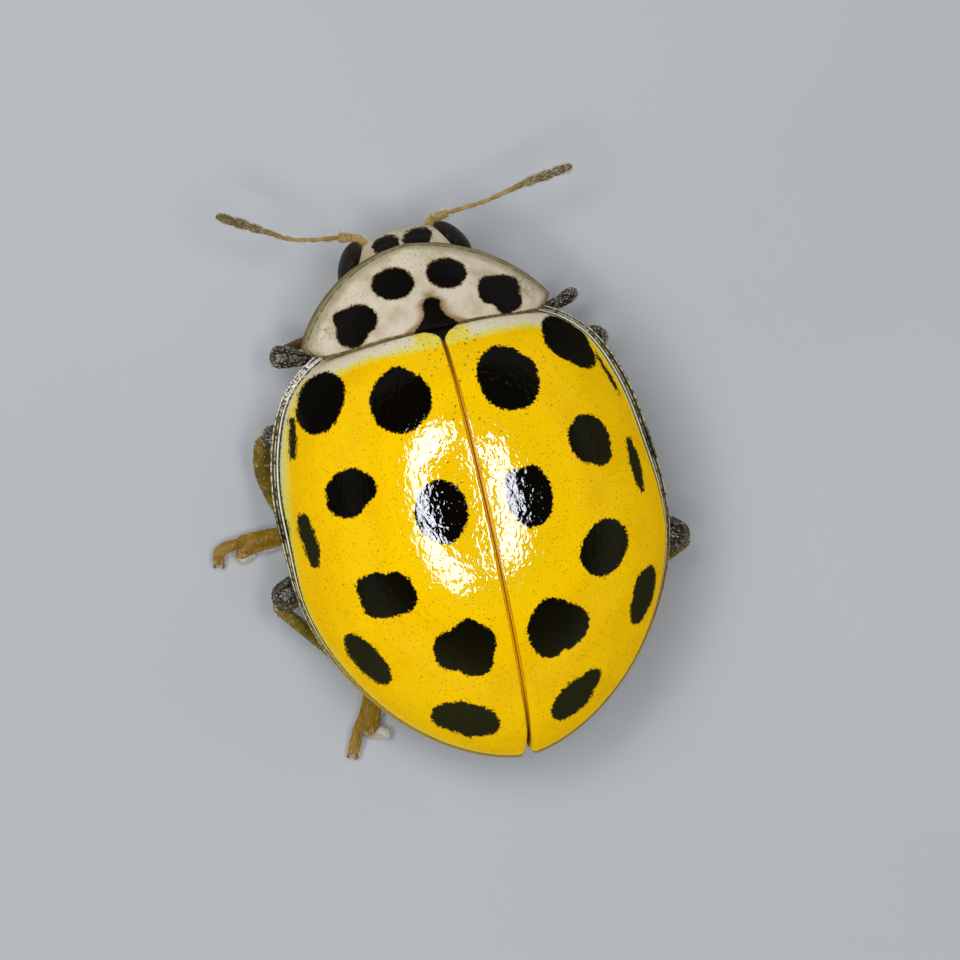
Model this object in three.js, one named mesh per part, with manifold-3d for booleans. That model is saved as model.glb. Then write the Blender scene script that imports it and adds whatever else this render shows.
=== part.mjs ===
// Twenty-two-spot ladybird, Psyllobora vigintiduopunctata, standing with its legs half drawn in.
// Millimetres at life size: +Z is up, the head points along -Y and its left side along +X.
// The origin is on the ground under the closed seam between the wing cases.
import * as THREE from 'three';
import { mergeVertices } from 'three/addons/utils/BufferGeometryUtils.js';
import Module from 'manifold-3d';

const wasm = await Module();
wasm.setup();

// Driving dimensions
const gap = 0.02;
const rimHeight = 0.62;
const rimThickness = 0.1;
const domeHeight = 1.38;
const wallThickness = 0.5;
const elytraWidth = 2.86;
const elytraBase = -1.0;
const elytraTail = 2.235;
const widestAt = 0.26;
const outlineReachFront = 1.37;
const ridgeReachFront = 1.48;
const scutellumHalfWidth = 0.15;
const scutellumLength = 0.2;
const scutellumDepth = 0.5;
const bellyHeight = 0.44;
const bellyInset = 0.26;
const bellySideInset = 0.21;
const bellyHalfWidth = 1.1;
const bellyRise = 0.05;
const bellyEndRise = 0.01;
const thoraxEnd = 0.3;
const pronotumWidth = 1.95;
const pronotumFront = -1.69;
const pronotumThickness = 0.12;
const pronotumThickening = 0.3;
const pronotumMargin = 0.74;
const pronotumMarginRise = 0.24;
const pronotumFrontDrop = 0.3;
const prothoraxFront = -1.39;
const prothoraxShare = 0.8;
const hindCurve = 0.05;
const headCentre = [0.083, -1.45, 0.7];
const headSize = [0.41, 0.33, 0.27];
const headYaw = THREE.MathUtils.degToRad(4.7);
const eyeSize = [0.15, 0.2, 0.2];
const eyeOffset = [0.35, -0.13, -0.01];
const mouthSize = [0.22, 0.14, 0.15];
const mouthOffset = [0, -0.24, -0.2];
const femurRadius = 0.25;
const femurTaper = 0.04;
const tibiaRadius = 0.22;
const tarsusRadius = 0.22;
const kneeHeight = 0.34;
const ankleHeight = 0.23;
const tarsusHeight = 0.17;
const feelerRadius = 0.19;
const clubRadius = 0.24;
const clubStart = 0.5;
const clubFull = 0.72;
const limbRings = 7;
const limbSides = 8;
const beyond = 3;

// How full each curve is: [power of the share, power of what is left]
const outlineFront = [2.2, 0.26];
const outlineRear = [2.2, 0.6];
const ridgeFront = [2.8, 0.5];
const ridgeRear = [2.35, 0.55];
const domeAcross = [2.3, 0.5];
const pronotumOutline = [1.5, 0.55];
const pronotumAcross = [2.2, 0.7];
const pronotumSlope = 1.4;
const headPower = 2.8;
const eyePower = 2;
const mouthPower = 2.4;

// Where each leg's hip, knee, ankle and toe stand, seen from above
const legStance = {
  front_left: [[0.36, -1.14], [1.21, -1.09], [0.76, -1.36], [0.46, -1.66]],
  front_right: [[-0.36, -1.14], [-1.15, -1.07], [-0.72, -1.34], [-0.4, -1.62]],
  middle_left: [[0.48, -0.3], [1.41, -0.56], [1.3, 0.2], [1.96, 0.24]],
  middle_right: [[-0.48, -0.3], [-1.31, -0.7], [-1.1, -0.02], [-1.2, 0.56]],
  hind_left: [[0.34, 0.22], [1.59, 0.72], [1.09, 1.52], [1.33, 1.92]],
  hind_right: [[-0.34, 0.22], [-1.56, 0.93], [-0.98, 1.4], [-0.72, 1.86]],
};

// Each feeler's route from its socket on the head to its tip
const feelerRoute = {
  antenna_left: [[0.4, -1.74, 0.66], [0.75, -1.85, 0.66], [1.02, -1.98, 0.72], [1.38, -2.19, 0.8]],
  antenna_right: [[-0.18, -1.76, 0.66], [-0.5, -1.85, 0.66], [-0.88, -1.92, 0.72], [-1.29, -1.97, 0.8]],
};

// Finish of each kind of sub-part: colour, roughness and metalness
const finishes = {
  elytron: [0xf2c404, 0.25, 0],
  cream: [0xd9ceb4, 0.35, 0],
  black: [0x15130f, 0.35, 0],
  under: [0x1b1511, 0.5, 0],
  eye: [0x0b0b0c, 0.3, 0],
  femur: [0x2a1d12, 0.45, 0],
  tibia: [0x6a5214, 0.45, 0],
  tarsus: [0x9a5b1e, 0.5, 0],
  antenna: [0xa9893f, 0.5, 0],
};

// ---- turning geometry into closed solids ----

function solidFrom(geometry) {
  geometry.deleteAttribute('normal');
  geometry.deleteAttribute('uv');
  const merged = mergeVertices(geometry, 1e-5);
  const corners = merged.index.array;
  const faces = [];
  for (let i = 0; i < corners.length; i += 3) {
    const [a, b, c] = [corners[i], corners[i + 1], corners[i + 2]];
    if (a !== b && b !== c && c !== a) faces.push(a, b, c);
  }
  const vertProperties = merged.attributes.position.array;
  const build = (triVerts) => new wasm.Manifold(new wasm.Mesh({ numProp: 3, vertProperties, triVerts }));
  const solid = build(new Uint32Array(faces));
  return solid.volume() > 0 ? solid : build(new Uint32Array(faces.reverse()));
}

function warp(geometry, place) {
  const position = geometry.attributes.position;
  const point = new THREE.Vector3();
  for (let i = 0; i < position.count; i += 1) {
    point.fromBufferAttribute(position, i);
    place(point);
    position.setXYZ(i, point.x, point.y, point.z);
  }
  return solidFrom(geometry);
}

function block(low, high) {
  const size = high.map((value, i) => value - low[i]);
  const geometry = new THREE.BoxGeometry(...size);
  geometry.translate(low[0] + size[0] / 2, low[1] + size[1] / 2, low[2] + size[2] / 2);
  return solidFrom(geometry);
}

// A low body with a curved upper and lower face that meet at a rim of its own outline.
function dish({ front, middle, rear, halfWidth, top, bottom, rings, sides }) {
  const shares = Array.from({ length: rings + 1 }, (_, i) => Math.sin((i / rings) * Math.PI / 2));
  const profile = [];
  shares.forEach((share) => profile.push(new THREE.Vector2(share, 1)));
  shares.reverse().forEach((share) => profile.push(new THREE.Vector2(share, 0)));
  return warp(new THREE.LatheGeometry(profile, sides), (point) => {
    const reach = point.z < 0 ? middle - front : rear - middle;
    const y = middle + point.z * reach;
    const rowWidth = Math.sqrt(Math.max(1 - point.z * point.z, 0));
    const across = rowWidth < 1e-6 ? 0 : THREE.MathUtils.clamp(point.x / rowWidth, -1, 1);
    const x = across * halfWidth(y);
    const face = point.y > 0.5 ? top : bottom;
    point.set(x, y, face(x, y));
  });
}

// A round-ended limb along a route, whose radius is a function of the share of its length.
function limb(route, radius, grow) {
  const stops = route.map((spot) => new THREE.Vector3(...spot));
  const curve = new THREE.CatmullRomCurve3(stops, false, 'centripetal');
  const length = curve.getLength() + 2 * grow;
  const frames = curve.computeFrenetFrames(limbRings, false);
  const profile = [new THREE.Vector2(0, 0)];
  for (let ring = 1; ring < limbRings; ring += 1) profile.push(new THREE.Vector2(1, ring));
  profile.push(new THREE.Vector2(0, limbRings));
  return warp(new THREE.LatheGeometry(profile, limbSides), (point) => {
    const share = (1 - Math.cos((point.y / limbRings) * Math.PI)) / 2;
    const widest = radius(share) + grow;
    const fromEnd = Math.min(share, 1 - share) * length;
    const inCap = 1 - Math.min(fromEnd / widest, 1);
    const size = Math.hypot(point.x, point.z) * widest * Math.sqrt(1 - inCap ** 2);
    const angle = Math.atan2(point.z, point.x);
    const frame = Math.round(share * limbRings);
    point.copy(curve.getPointAt(share));
    point.addScaledVector(frames.tangents[frame], grow * (2 * share - 1));
    point.addScaledVector(frames.normals[frame], size * Math.cos(angle));
    point.addScaledVector(frames.binormals[frame], size * Math.sin(angle));
  });
}

// How far a rounded curve still stands at a share of its reach.
function swell(share, [sharePower, restPower]) {
  return (1 - share ** sharePower) ** restPower;
}

// An egg shape: a power above 2 makes it squarer.
function egg(centre, size, power, grow, [around, tall]) {
  const turn = new THREE.Matrix4().makeRotationZ(headYaw);
  return warp(new THREE.SphereGeometry(1, around, tall), (point) => {
    const powers = point.toArray().map((value) => Math.abs(value) ** power);
    point.divideScalar((powers[0] + powers[1] + powers[2]) ** (1 / power));
    point.set(point.x * (size[0] + grow), point.y * (size[1] + grow), point.z * (size[2] + grow));
    point.applyMatrix4(turn);
    point.add(new THREE.Vector3(...centre));
  });
}

// ---- wing cases ----

function elytraHalfWidth(y) {
  const forward = y < widestAt;
  const reach = forward ? outlineReachFront : elytraTail - widestAt;
  const share = Math.min(Math.abs(y - widestAt) / reach, 1);
  return (elytraWidth / 2) * swell(share, forward ? outlineFront : outlineRear);
}

function ridgeHeight(y) {
  const forward = y < widestAt;
  const reach = forward ? ridgeReachFront : elytraTail - widestAt;
  const share = Math.min(Math.abs(y - widestAt) / reach, 1);
  return domeHeight * swell(share, forward ? ridgeFront : ridgeRear);
}

function domeTop(x, y) {
  const share = Math.min(Math.abs(x) / Math.max(elytraHalfWidth(y), 1e-6), 1);
  return rimHeight + ridgeHeight(y) * swell(share, domeAcross);
}

function domeInside(x, y) {
  const inner = Math.max(elytraHalfWidth(y) - wallThickness, 1e-6);
  const share = Math.min(Math.abs(x) / inner, 1);
  const rise = Math.max(ridgeHeight(y) - wallThickness, 0);
  return rimHeight - rimThickness + rise * Math.sqrt(1 - share ** 2);
}

function dome(grow) {
  return dish({
    front: widestAt - outlineReachFront,
    middle: widestAt,
    rear: elytraTail + grow,
    halfWidth: (y) => elytraHalfWidth(y) + (y > elytraTail - 0.001 ? 0 : grow),
    top: (x, y) => domeTop(x, y) + grow,
    bottom: (x, y) => domeInside(x, y) - grow,
    rings: 8,
    sides: 48,
  });
}

function elytron(side, grow) {
  const inner = gap / 2 - grow;
  const otherHalf = side > 0 ? block([-beyond, -beyond, -beyond], [inner, beyond, beyond])
    : block([-inner, -beyond, -beyond], [beyond, beyond, beyond]);
  const ahead = block([-beyond, -beyond, -beyond], [beyond, elytraBase - grow, beyond]);
  return dome(grow).subtract(otherHalf).subtract(ahead);
}

// The small three-cornered plate between the wing cases' bases.
function scutellum(grow) {
  const plate = new THREE.Shape();
  plate.moveTo(-scutellumHalfWidth - grow, elytraBase);
  plate.lineTo(scutellumHalfWidth + grow, elytraBase);
  plate.lineTo(0, elytraBase + scutellumLength + grow * 2);
  plate.closePath();
  const geometry = new THREE.ExtrudeGeometry(plate, { depth: scutellumDepth + grow, bevelEnabled: false });
  geometry.translate(0, 0, domeTop(0, elytraBase) - scutellumDepth);
  return solidFrom(geometry);
}

// ---- pronotum, the shield behind the head ----

function pronotumShare(y) {
  return THREE.MathUtils.clamp((y - elytraBase + gap) / (pronotumFront - elytraBase + gap), 0, 1);
}

function pronotumHalfWidth(y) {
  return (pronotumWidth / 2) * swell(pronotumShare(y), pronotumOutline);
}

function pronotumTop(x, y) {
  const ahead = pronotumShare(y);
  const across = Math.min(Math.abs(x) / Math.max(pronotumHalfWidth(y), 1e-6), 1);
  const margin = pronotumMargin + pronotumMarginRise * ahead;
  const middle = domeTop(0, elytraBase) - pronotumFrontDrop * ahead ** pronotumSlope;
  return margin + (middle - margin) * swell(across, pronotumAcross);
}

function pronotumBottom(x, y) {
  const top = pronotumTop(x, y);
  return top - pronotumThickness - pronotumThickening * (top - pronotumMargin);
}

function pronotum(grow) {
  const hindEdge = elytraBase - gap;
  const whole = dish({
    front: pronotumFront - grow,
    middle: hindEdge - hindCurve,
    rear: hindEdge + hindCurve,
    halfWidth: (y) => pronotumHalfWidth(Math.max(y, pronotumFront)) + grow,
    top: (x, y) => pronotumTop(x, y) + grow,
    bottom: (x, y) => pronotumBottom(x, y) - grow,
    rings: 5,
    sides: 32,
  });
  return whole.subtract(block([-beyond, hindEdge + grow, 0], [beyond, beyond, beyond]));
}

// ---- under side ----

function underbodyHalfWidth(y) {
  const outline = elytraHalfWidth(y > widestAt ? y + bellyInset : y);
  return Math.max(outline - bellySideInset, gap);
}

function underbody(grow) {
  return dish({
    front: widestAt - outlineReachFront,
    middle: widestAt,
    rear: elytraTail - bellyInset + grow,
    halfWidth: (y) => underbodyHalfWidth(y) + grow,
    top: (x, y) => domeInside(x, y) + gap + grow,
    bottom: (x, y) => bellyHeight + bellyRise * (x / bellyHalfWidth) ** 2 + bellyEndRise * y ** 2 - grow,
    rings: 4,
    sides: 28,
  });
}

function thorax(grow) {
  const ahead = block([-beyond, -beyond, -beyond], [beyond, elytraBase - grow, beyond]);
  const behind = block([-beyond, thoraxEnd - gap / 2 + grow, -beyond], [beyond, beyond, beyond]);
  return underbody(grow).subtract(ahead).subtract(behind);
}

function abdomen(grow) {
  const ahead = block([-beyond, -beyond, -beyond], [beyond, thoraxEnd + gap / 2 - grow, beyond]);
  return underbody(grow).subtract(ahead);
}

function prothorax(grow) {
  const hindEdge = elytraBase - gap;
  const whole = dish({
    front: prothoraxFront - grow,
    middle: hindEdge - hindCurve,
    rear: hindEdge + hindCurve,
    halfWidth: (y) => pronotumHalfWidth(y) * prothoraxShare + grow,
    top: (x, y) => pronotumBottom(x, y) + gap + grow,
    bottom: () => bellyHeight - grow,
    rings: 3,
    sides: 24,
  });
  return whole.subtract(block([-beyond, hindEdge + grow, 0], [beyond, beyond, beyond]));
}

// ---- head ----

function fromHead(offset) {
  const [x, y, z] = offset;
  return [
    headCentre[0] + x * Math.cos(headYaw) - y * Math.sin(headYaw),
    headCentre[1] + x * Math.sin(headYaw) + y * Math.cos(headYaw),
    headCentre[2] + z,
  ];
}

function head(grow) {
  return egg(headCentre, headSize, headPower, grow, [22, 12]);
}

function eye(side, grow) {
  const [x, y, z] = eyeOffset;
  return egg(fromHead([side * x, y, z]), eyeSize, eyePower, grow, [14, 8]);
}

function mouthparts(grow) {
  return egg(fromHead(mouthOffset), mouthSize, mouthPower, grow, [14, 8]);
}

function antenna(name, grow) {
  const { lerp, smoothstep } = THREE.MathUtils;
  const radius = (share) => lerp(feelerRadius, clubRadius, smoothstep(share, clubStart, clubFull));
  return limb(feelerRoute[name], radius, grow);
}

// ---- legs ----

function legSegment(name, segment, grow) {
  const [hip, knee, ankle, toe] = legStance[name];
  const underGround = block([-beyond, -beyond, -beyond], [beyond, beyond, 0]);
  if (segment === 'femur') {
    const radius = (share) => femurRadius - femurTaper * share;
    return limb([[...hip, kneeHeight], [...knee, kneeHeight]], radius, grow);
  }
  if (segment === 'tibia') {
    return limb([[...knee, kneeHeight], [...ankle, ankleHeight]], () => tibiaRadius, grow);
  }
  const foot = limb([[...ankle, tarsusHeight], [...toe, tarsusHeight]], () => tarsusRadius, grow);
  return foot.subtract(underGround);
}

// ---- assembly: each piece gives way to the pieces named before it ----

const recipes = new Map();

function add(name, finish, make, givesWayTo = []) {
  recipes.set(name, { finish, make, givesWayTo });
}

const trunk = ['prothorax', 'thorax', 'abdomen'];
const shell = ['elytron_left', 'elytron_right', 'pronotum'];
const face = ['head', 'eye_left', 'eye_right', 'mouthparts'];

add('scutellum', 'black', scutellum);
add('elytron_left', 'elytron', (grow) => elytron(1, grow), ['scutellum']);
add('elytron_right', 'elytron', (grow) => elytron(-1, grow), ['scutellum']);
add('pronotum', 'cream', pronotum);
add('prothorax', 'under', prothorax, ['pronotum']);
add('thorax', 'under', thorax, ['scutellum', 'elytron_left', 'elytron_right']);
add('abdomen', 'under', abdomen, ['elytron_left', 'elytron_right']);
add('eye_left', 'eye', (grow) => eye(1, grow), ['pronotum', 'prothorax']);
add('eye_right', 'eye', (grow) => eye(-1, grow), ['pronotum', 'prothorax']);
add('head', 'cream', head, ['pronotum', 'prothorax', 'eye_left', 'eye_right']);
add('mouthparts', 'tarsus', mouthparts, ['head']);
for (const name of Object.keys(feelerRoute)) {
  add(name, 'antenna', (grow) => antenna(name, grow), [...face, 'pronotum']);
}
for (const name of Object.keys(legStance)) {
  for (const segment of ['tarsus', 'tibia', 'femur']) {
    const outward = { tarsus: [], tibia: ['tarsus'], femur: ['tibia', 'tarsus'] }[segment];
    const neighbours = outward.map((part) => `leg_${name}_${part}`);
    const bodyParts = name.startsWith('front') ? [...trunk, ...shell, ...face] : [...trunk, ...shell];
    const make = (grow) => legSegment(name, segment, grow);
    add(`leg_${name}_${segment}`, segment, make, [...bodyParts, ...neighbours]);
  }
}

function largestBody(solid) {
  return solid.decompose().reduce((best, body) => (body.volume() > best.volume() ? body : best));
}

function meshOf(name, { finish, make, givesWayTo }) {
  const grown = givesWayTo.map((other) => recipes.get(other).make(gap));
  const solid = largestBody(grown.reduce((left, other) => left.subtract(other), make(0)));
  const { vertProperties, triVerts } = solid.getMesh();
  const geometry = new THREE.BufferGeometry();
  geometry.setAttribute('position', new THREE.BufferAttribute(new Float32Array(vertProperties), 3));
  geometry.setIndex(new THREE.BufferAttribute(new Uint32Array(triVerts), 1));
  geometry.computeVertexNormals();
  const [color, roughness, metalness] = finishes[finish];
  const mesh = new THREE.Mesh(geometry, new THREE.MeshStandardMaterial({ color, roughness, metalness }));
  mesh.name = name;
  return mesh;
}

const ladybird = new THREE.Group();
ladybird.name = 'ladybird';
recipes.forEach((recipe, name) => ladybird.add(meshOf(name, recipe)));

export default ladybird;
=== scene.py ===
"""A life-size twenty-two-spot ladybird, standing, as it looks in daylight-balanced studio light.

Lengths are in millimetres and are turned into metres where a mesh is made. +Z is up, the head
points along -Y and the animal's left side is toward +X.
"""
import math

import bpy
import numpy as np
from mathutils import Matrix, Vector


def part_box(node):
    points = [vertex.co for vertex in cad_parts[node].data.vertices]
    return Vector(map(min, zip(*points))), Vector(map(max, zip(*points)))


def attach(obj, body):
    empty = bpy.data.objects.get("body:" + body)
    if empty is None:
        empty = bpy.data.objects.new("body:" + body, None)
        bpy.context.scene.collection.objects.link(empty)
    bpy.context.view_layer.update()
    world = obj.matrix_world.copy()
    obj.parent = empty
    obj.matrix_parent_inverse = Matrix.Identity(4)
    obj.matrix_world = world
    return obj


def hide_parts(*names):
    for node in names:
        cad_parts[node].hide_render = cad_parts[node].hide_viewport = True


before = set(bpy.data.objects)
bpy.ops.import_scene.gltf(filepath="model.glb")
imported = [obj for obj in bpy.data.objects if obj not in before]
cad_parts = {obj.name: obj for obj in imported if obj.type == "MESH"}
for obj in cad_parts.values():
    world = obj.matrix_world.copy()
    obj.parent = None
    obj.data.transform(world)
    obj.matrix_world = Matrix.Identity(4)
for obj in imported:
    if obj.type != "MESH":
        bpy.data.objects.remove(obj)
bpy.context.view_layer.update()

MM = 0.001
SEED = 22

# ---- driving sizes, read from the frame where it has them ----


def node_box(*nodes):
    """The lowest and the highest corner around some nodes of the frame."""
    corners = [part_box(node) for node in nodes]
    low = np.min([np.array(a) for a, _ in corners], axis=0) / MM
    high = np.max([np.array(b) for _, b in corners], axis=0) / MM
    return low, high


shell_low, shell_high = node_box("elytron_left", "elytron_right")
shield_low, shield_high = node_box("pronotum")
eyes_low, eyes_high = node_box("eye_left", "eye_right")

BASE_Y = shell_low[1]
TAIL_Y = shell_high[1]
FOLD_DEPTH = 0.1
RIM_Z = shell_low[2] + FOLD_DEPTH
DOME_HEIGHT = shell_high[2] - RIM_Z
SHELL_HALF = (shell_high[0] - shell_low[0]) / 2
WIDEST_Y = 0.26
RIM_AT_SHOULDER = 0.076
RIM_AT_TAIL = 0.018
TAIL_CORNER = 0.070
OUTLINE_REACH = 1.37
RIDGE_REACH = 1.48
FLANK_FULLNESS = 0.030
FORE_LEAN = 0.020
SHIELD_FRONT = shield_low[1] + 0.018
SHIELD_REAR = shield_high[1]
SHIELD_HALF = (shield_high[0] - shield_low[0]) / 2
HEAD_YAW = math.radians(4.7)
HEAD_X = (eyes_high[0] + eyes_low[0]) / 2

# ---- small numeric tools ----


def smoothstep(value, low, high):
    """Smooth rise from 0 at `low` to 1 at `high`, which may lie either way round."""
    t = np.clip((value - low) / (high - low), 0, 1)
    return t * t * (3 - 2 * t)


def bump_at(value, centre, width):
    return np.exp(-(((value - centre) / width) ** 2))


HASH_FACTORS = (73856093, 19349663, 83492791)
HASH_SEED_FACTOR = 2654435761
HASH_SEED_LIMIT = 2147483647
HASH_SPREAD = 1274126177
HASH_TOP = 0xFFFFFF


def lattice(places, seed):
    """A repeatable number from 0 to 1 for each whole-number place."""
    mixed = np.int64(seed * HASH_SEED_FACTOR % HASH_SEED_LIMIT)
    for place, factor in zip(places, HASH_FACTORS):
        mixed = mixed ^ place * factor
    mixed = (mixed ^ (mixed >> 13)) * HASH_SPREAD
    return ((mixed ^ (mixed >> 16)) & HASH_TOP) / HASH_TOP


def noise(points, size, seed):
    """Smooth noise from -1 to 1 whose lumps are about `size` across."""
    scaled = np.asarray(points) / size
    whole = np.floor(scaled).astype(np.int64)
    part = scaled - whole
    part = part * part * (3 - 2 * part)
    total = 0.0
    for corner in np.ndindex(2, 2, 2):
        weight = np.prod(np.where(np.array(corner) == 1, part, 1 - part), axis=-1)
        total = total + weight * lattice([whole[..., k] + corner[k] for k in range(3)], seed)
    return total * 2 - 1


def grid(x, y, z):
    """Points from three arrays of coordinates, which are spread to one shape."""
    return np.stack(np.broadcast_arrays(x, y, z), axis=-1)


def fuller(wave, power):
    """A sine or cosine bent so that, above power 2, the ring it draws is fuller than a circle."""
    return np.sign(wave) * np.abs(wave) ** (2 / power)


def full_turn(count):
    return np.linspace(0, 2 * math.pi, count, endpoint=False)


def end_weighted(count):
    """Shares 0 to 1 that crowd together toward both ends."""
    return (1 - np.cos(np.linspace(0, math.pi, count))) / 2


CURVE_STEPS = 24


def curve_points(stops, shares):
    """Points along a smooth curve through the stops, at shares 0 to 1 of its length."""
    stops = np.asarray(stops, float)
    ends = np.vstack([2 * stops[0] - stops[1], stops, 2 * stops[-1] - stops[-2]])
    fine = []
    for k in range(len(stops) - 1):
        a, b, c, d = ends[k:k + 4]
        t = np.linspace(0, 1, CURVE_STEPS, endpoint=False)[:, None]
        fine.append(0.5 * (2 * b + (c - a) * t + (2 * a - 5 * b + 4 * c - d) * t ** 2
                           + (3 * b - a - 3 * c + d) * t ** 3))
    fine = np.vstack(fine + [stops[-1:]])
    run = np.concatenate([[0], np.cumsum(np.linalg.norm(np.diff(fine, axis=0), axis=1))])
    wanted = np.asarray(shares) * run[-1]
    return np.stack([np.interp(wanted, run, fine[:, k]) for k in range(3)], axis=-1)


# ---- meshes ----

FLOOR_GAP = 0.0005


class Shape:
    """Points, faces and per-point numbers that become one mesh."""

    def __init__(self):
        self.points, self.faces, self.layers, self.count = [], [], {}, 0

    def add(self, points, faces, **layers):
        for block in faces:
            self.faces.extend((block + self.count).tolist())
        for name, values in layers.items():
            self.layers.setdefault(name, []).append(values)
        self.points.append(points)
        self.count += len(points)
        return self

    def loft(self, rings, **layers):
        """Add a closed tube through rings of points, facing out, with layers of one number a point."""
        rows, columns = rings.shape[:2]
        index = np.arange(rows * columns).reshape(rows, columns)
        after = np.roll(index, -1, axis=1)
        quads = np.stack([index[:-1], after[:-1], after[1:], index[1:]], axis=-1).reshape(-1, 4)
        points = np.vstack([rings.reshape(-1, 3), rings[0].mean(axis=0), rings[-1].mean(axis=0)])
        centres = [np.full(columns, rows * columns + k) for k in range(2)]
        faces = [quads, np.stack([after[0], index[0], centres[0]], axis=-1),
                 np.stack([index[-1], after[-1], centres[1]], axis=-1)]
        first, second, third, fourth = (points[quads[:, k]] for k in range(4))
        volume = np.sum(first * np.cross(second, third)) + np.sum(first * np.cross(third, fourth))
        if volume < 0:
            faces = [block[:, ::-1] for block in faces]
        for name, values in layers.items():
            values = np.broadcast_to(values, (rows, columns))
            layers[name] = np.concatenate([values.ravel(), [values[0].mean(), values[-1].mean()]])
        return self.add(points, faces, **layers)


def put(name, data):
    obj = bpy.data.objects.new(name, data)
    bpy.context.scene.collection.objects.link(obj)
    return obj


def piece(name, shape, material, nodes=()):
    """A mesh object made from a shape, riding on the model's one body."""
    mesh = bpy.data.meshes.new(name)
    points = np.vstack(shape.points)
    points[:, 2] = np.maximum(points[:, 2], FLOOR_GAP)
    points *= MM
    mesh.from_pydata(points.tolist(), [], shape.faces)
    for layer, blocks in shape.layers.items():
        values = np.concatenate(blocks).astype(np.float32)
        mesh.attributes.new(layer, "FLOAT", "POINT").data.foreach_set("value", values)
    mesh.polygons.foreach_set("use_smooth", [True] * len(mesh.polygons))
    mesh.validate()
    mesh.update()
    mesh.materials.append(material)
    obj = put(name, mesh)
    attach(obj, "root")
    if nodes:
        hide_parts(*nodes)
    return obj


def tube_rings(path, half_width, half_height, around, power=2.0):
    """Rings about a path, with their up as near the world's as it can be."""
    along = np.gradient(path, axis=0)
    along /= np.linalg.norm(along, axis=1, keepdims=True)
    side = np.cross(along, [0.0, 0.0, 1.0])
    side /= np.maximum(np.linalg.norm(side, axis=1, keepdims=True), 1e-6)
    up = np.cross(side, along)
    angle = full_turn(around)
    across = half_width[:, None] * fuller(np.cos(angle), power)
    tall = half_height[:, None] * fuller(np.sin(angle), power)
    return path[:, None] + side[:, None] * across[..., None] + up[:, None] * tall[..., None]


def round_ends(shares, start, end):
    """A factor that brings a tube's width smoothly to nothing at both ends."""
    first = np.clip(shares / start, 0, 1)
    last = np.clip((1 - shares) / end, 0, 1)
    return np.sqrt(1 - (1 - first) ** 2) * np.sqrt(1 - (1 - last) ** 2) + 0.002


# ---- hairs: joined three-sided bristles ----

HAIR_POINTS = 7
HAIR_SUNK = 0.004
HAIR_MIDDLE = 0.55


def bristles(roots, directions, lengths, width, droop, rng):
    """Points and faces of bent, tapering hairs, one at each root: two rings of three and a tip."""
    directions = directions / np.linalg.norm(directions, axis=1, keepdims=True)
    lengths = lengths[:, None]
    one = np.cross(directions, rng.normal(size=directions.shape))
    one /= np.linalg.norm(one, axis=1, keepdims=True)
    two = np.cross(directions, one)
    angle = full_turn(3)[:, None]
    corner = one[:, None] * np.cos(angle) + two[:, None] * np.sin(angle)
    bend = np.array([0, 0, -droop]) * lengths
    base = (roots - directions * HAIR_SUNK)[:, None] + corner * width
    middle = (roots + directions * lengths * HAIR_MIDDLE + bend * 0.3)[:, None] + corner * width * 0.7
    tip = (roots + directions * lengths + bend)[:, None]
    points = np.concatenate([base, middle, tip], axis=1)
    start = (np.arange(len(roots)) * HAIR_POINTS)[:, None]
    pairs = ((0, 1), (1, 2), (2, 0))
    quads = [start + np.array([k, j, 3 + j, 3 + k]) for k, j in pairs]
    triangles = [start + np.array([3 + k, 3 + j, 6]) for k, j in pairs]
    triangles.append(start + np.array([2, 1, 0]))
    return points.reshape(-1, 3), [np.concatenate(quads), np.concatenate(triangles)]


# ---- shader nodes ----


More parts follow.
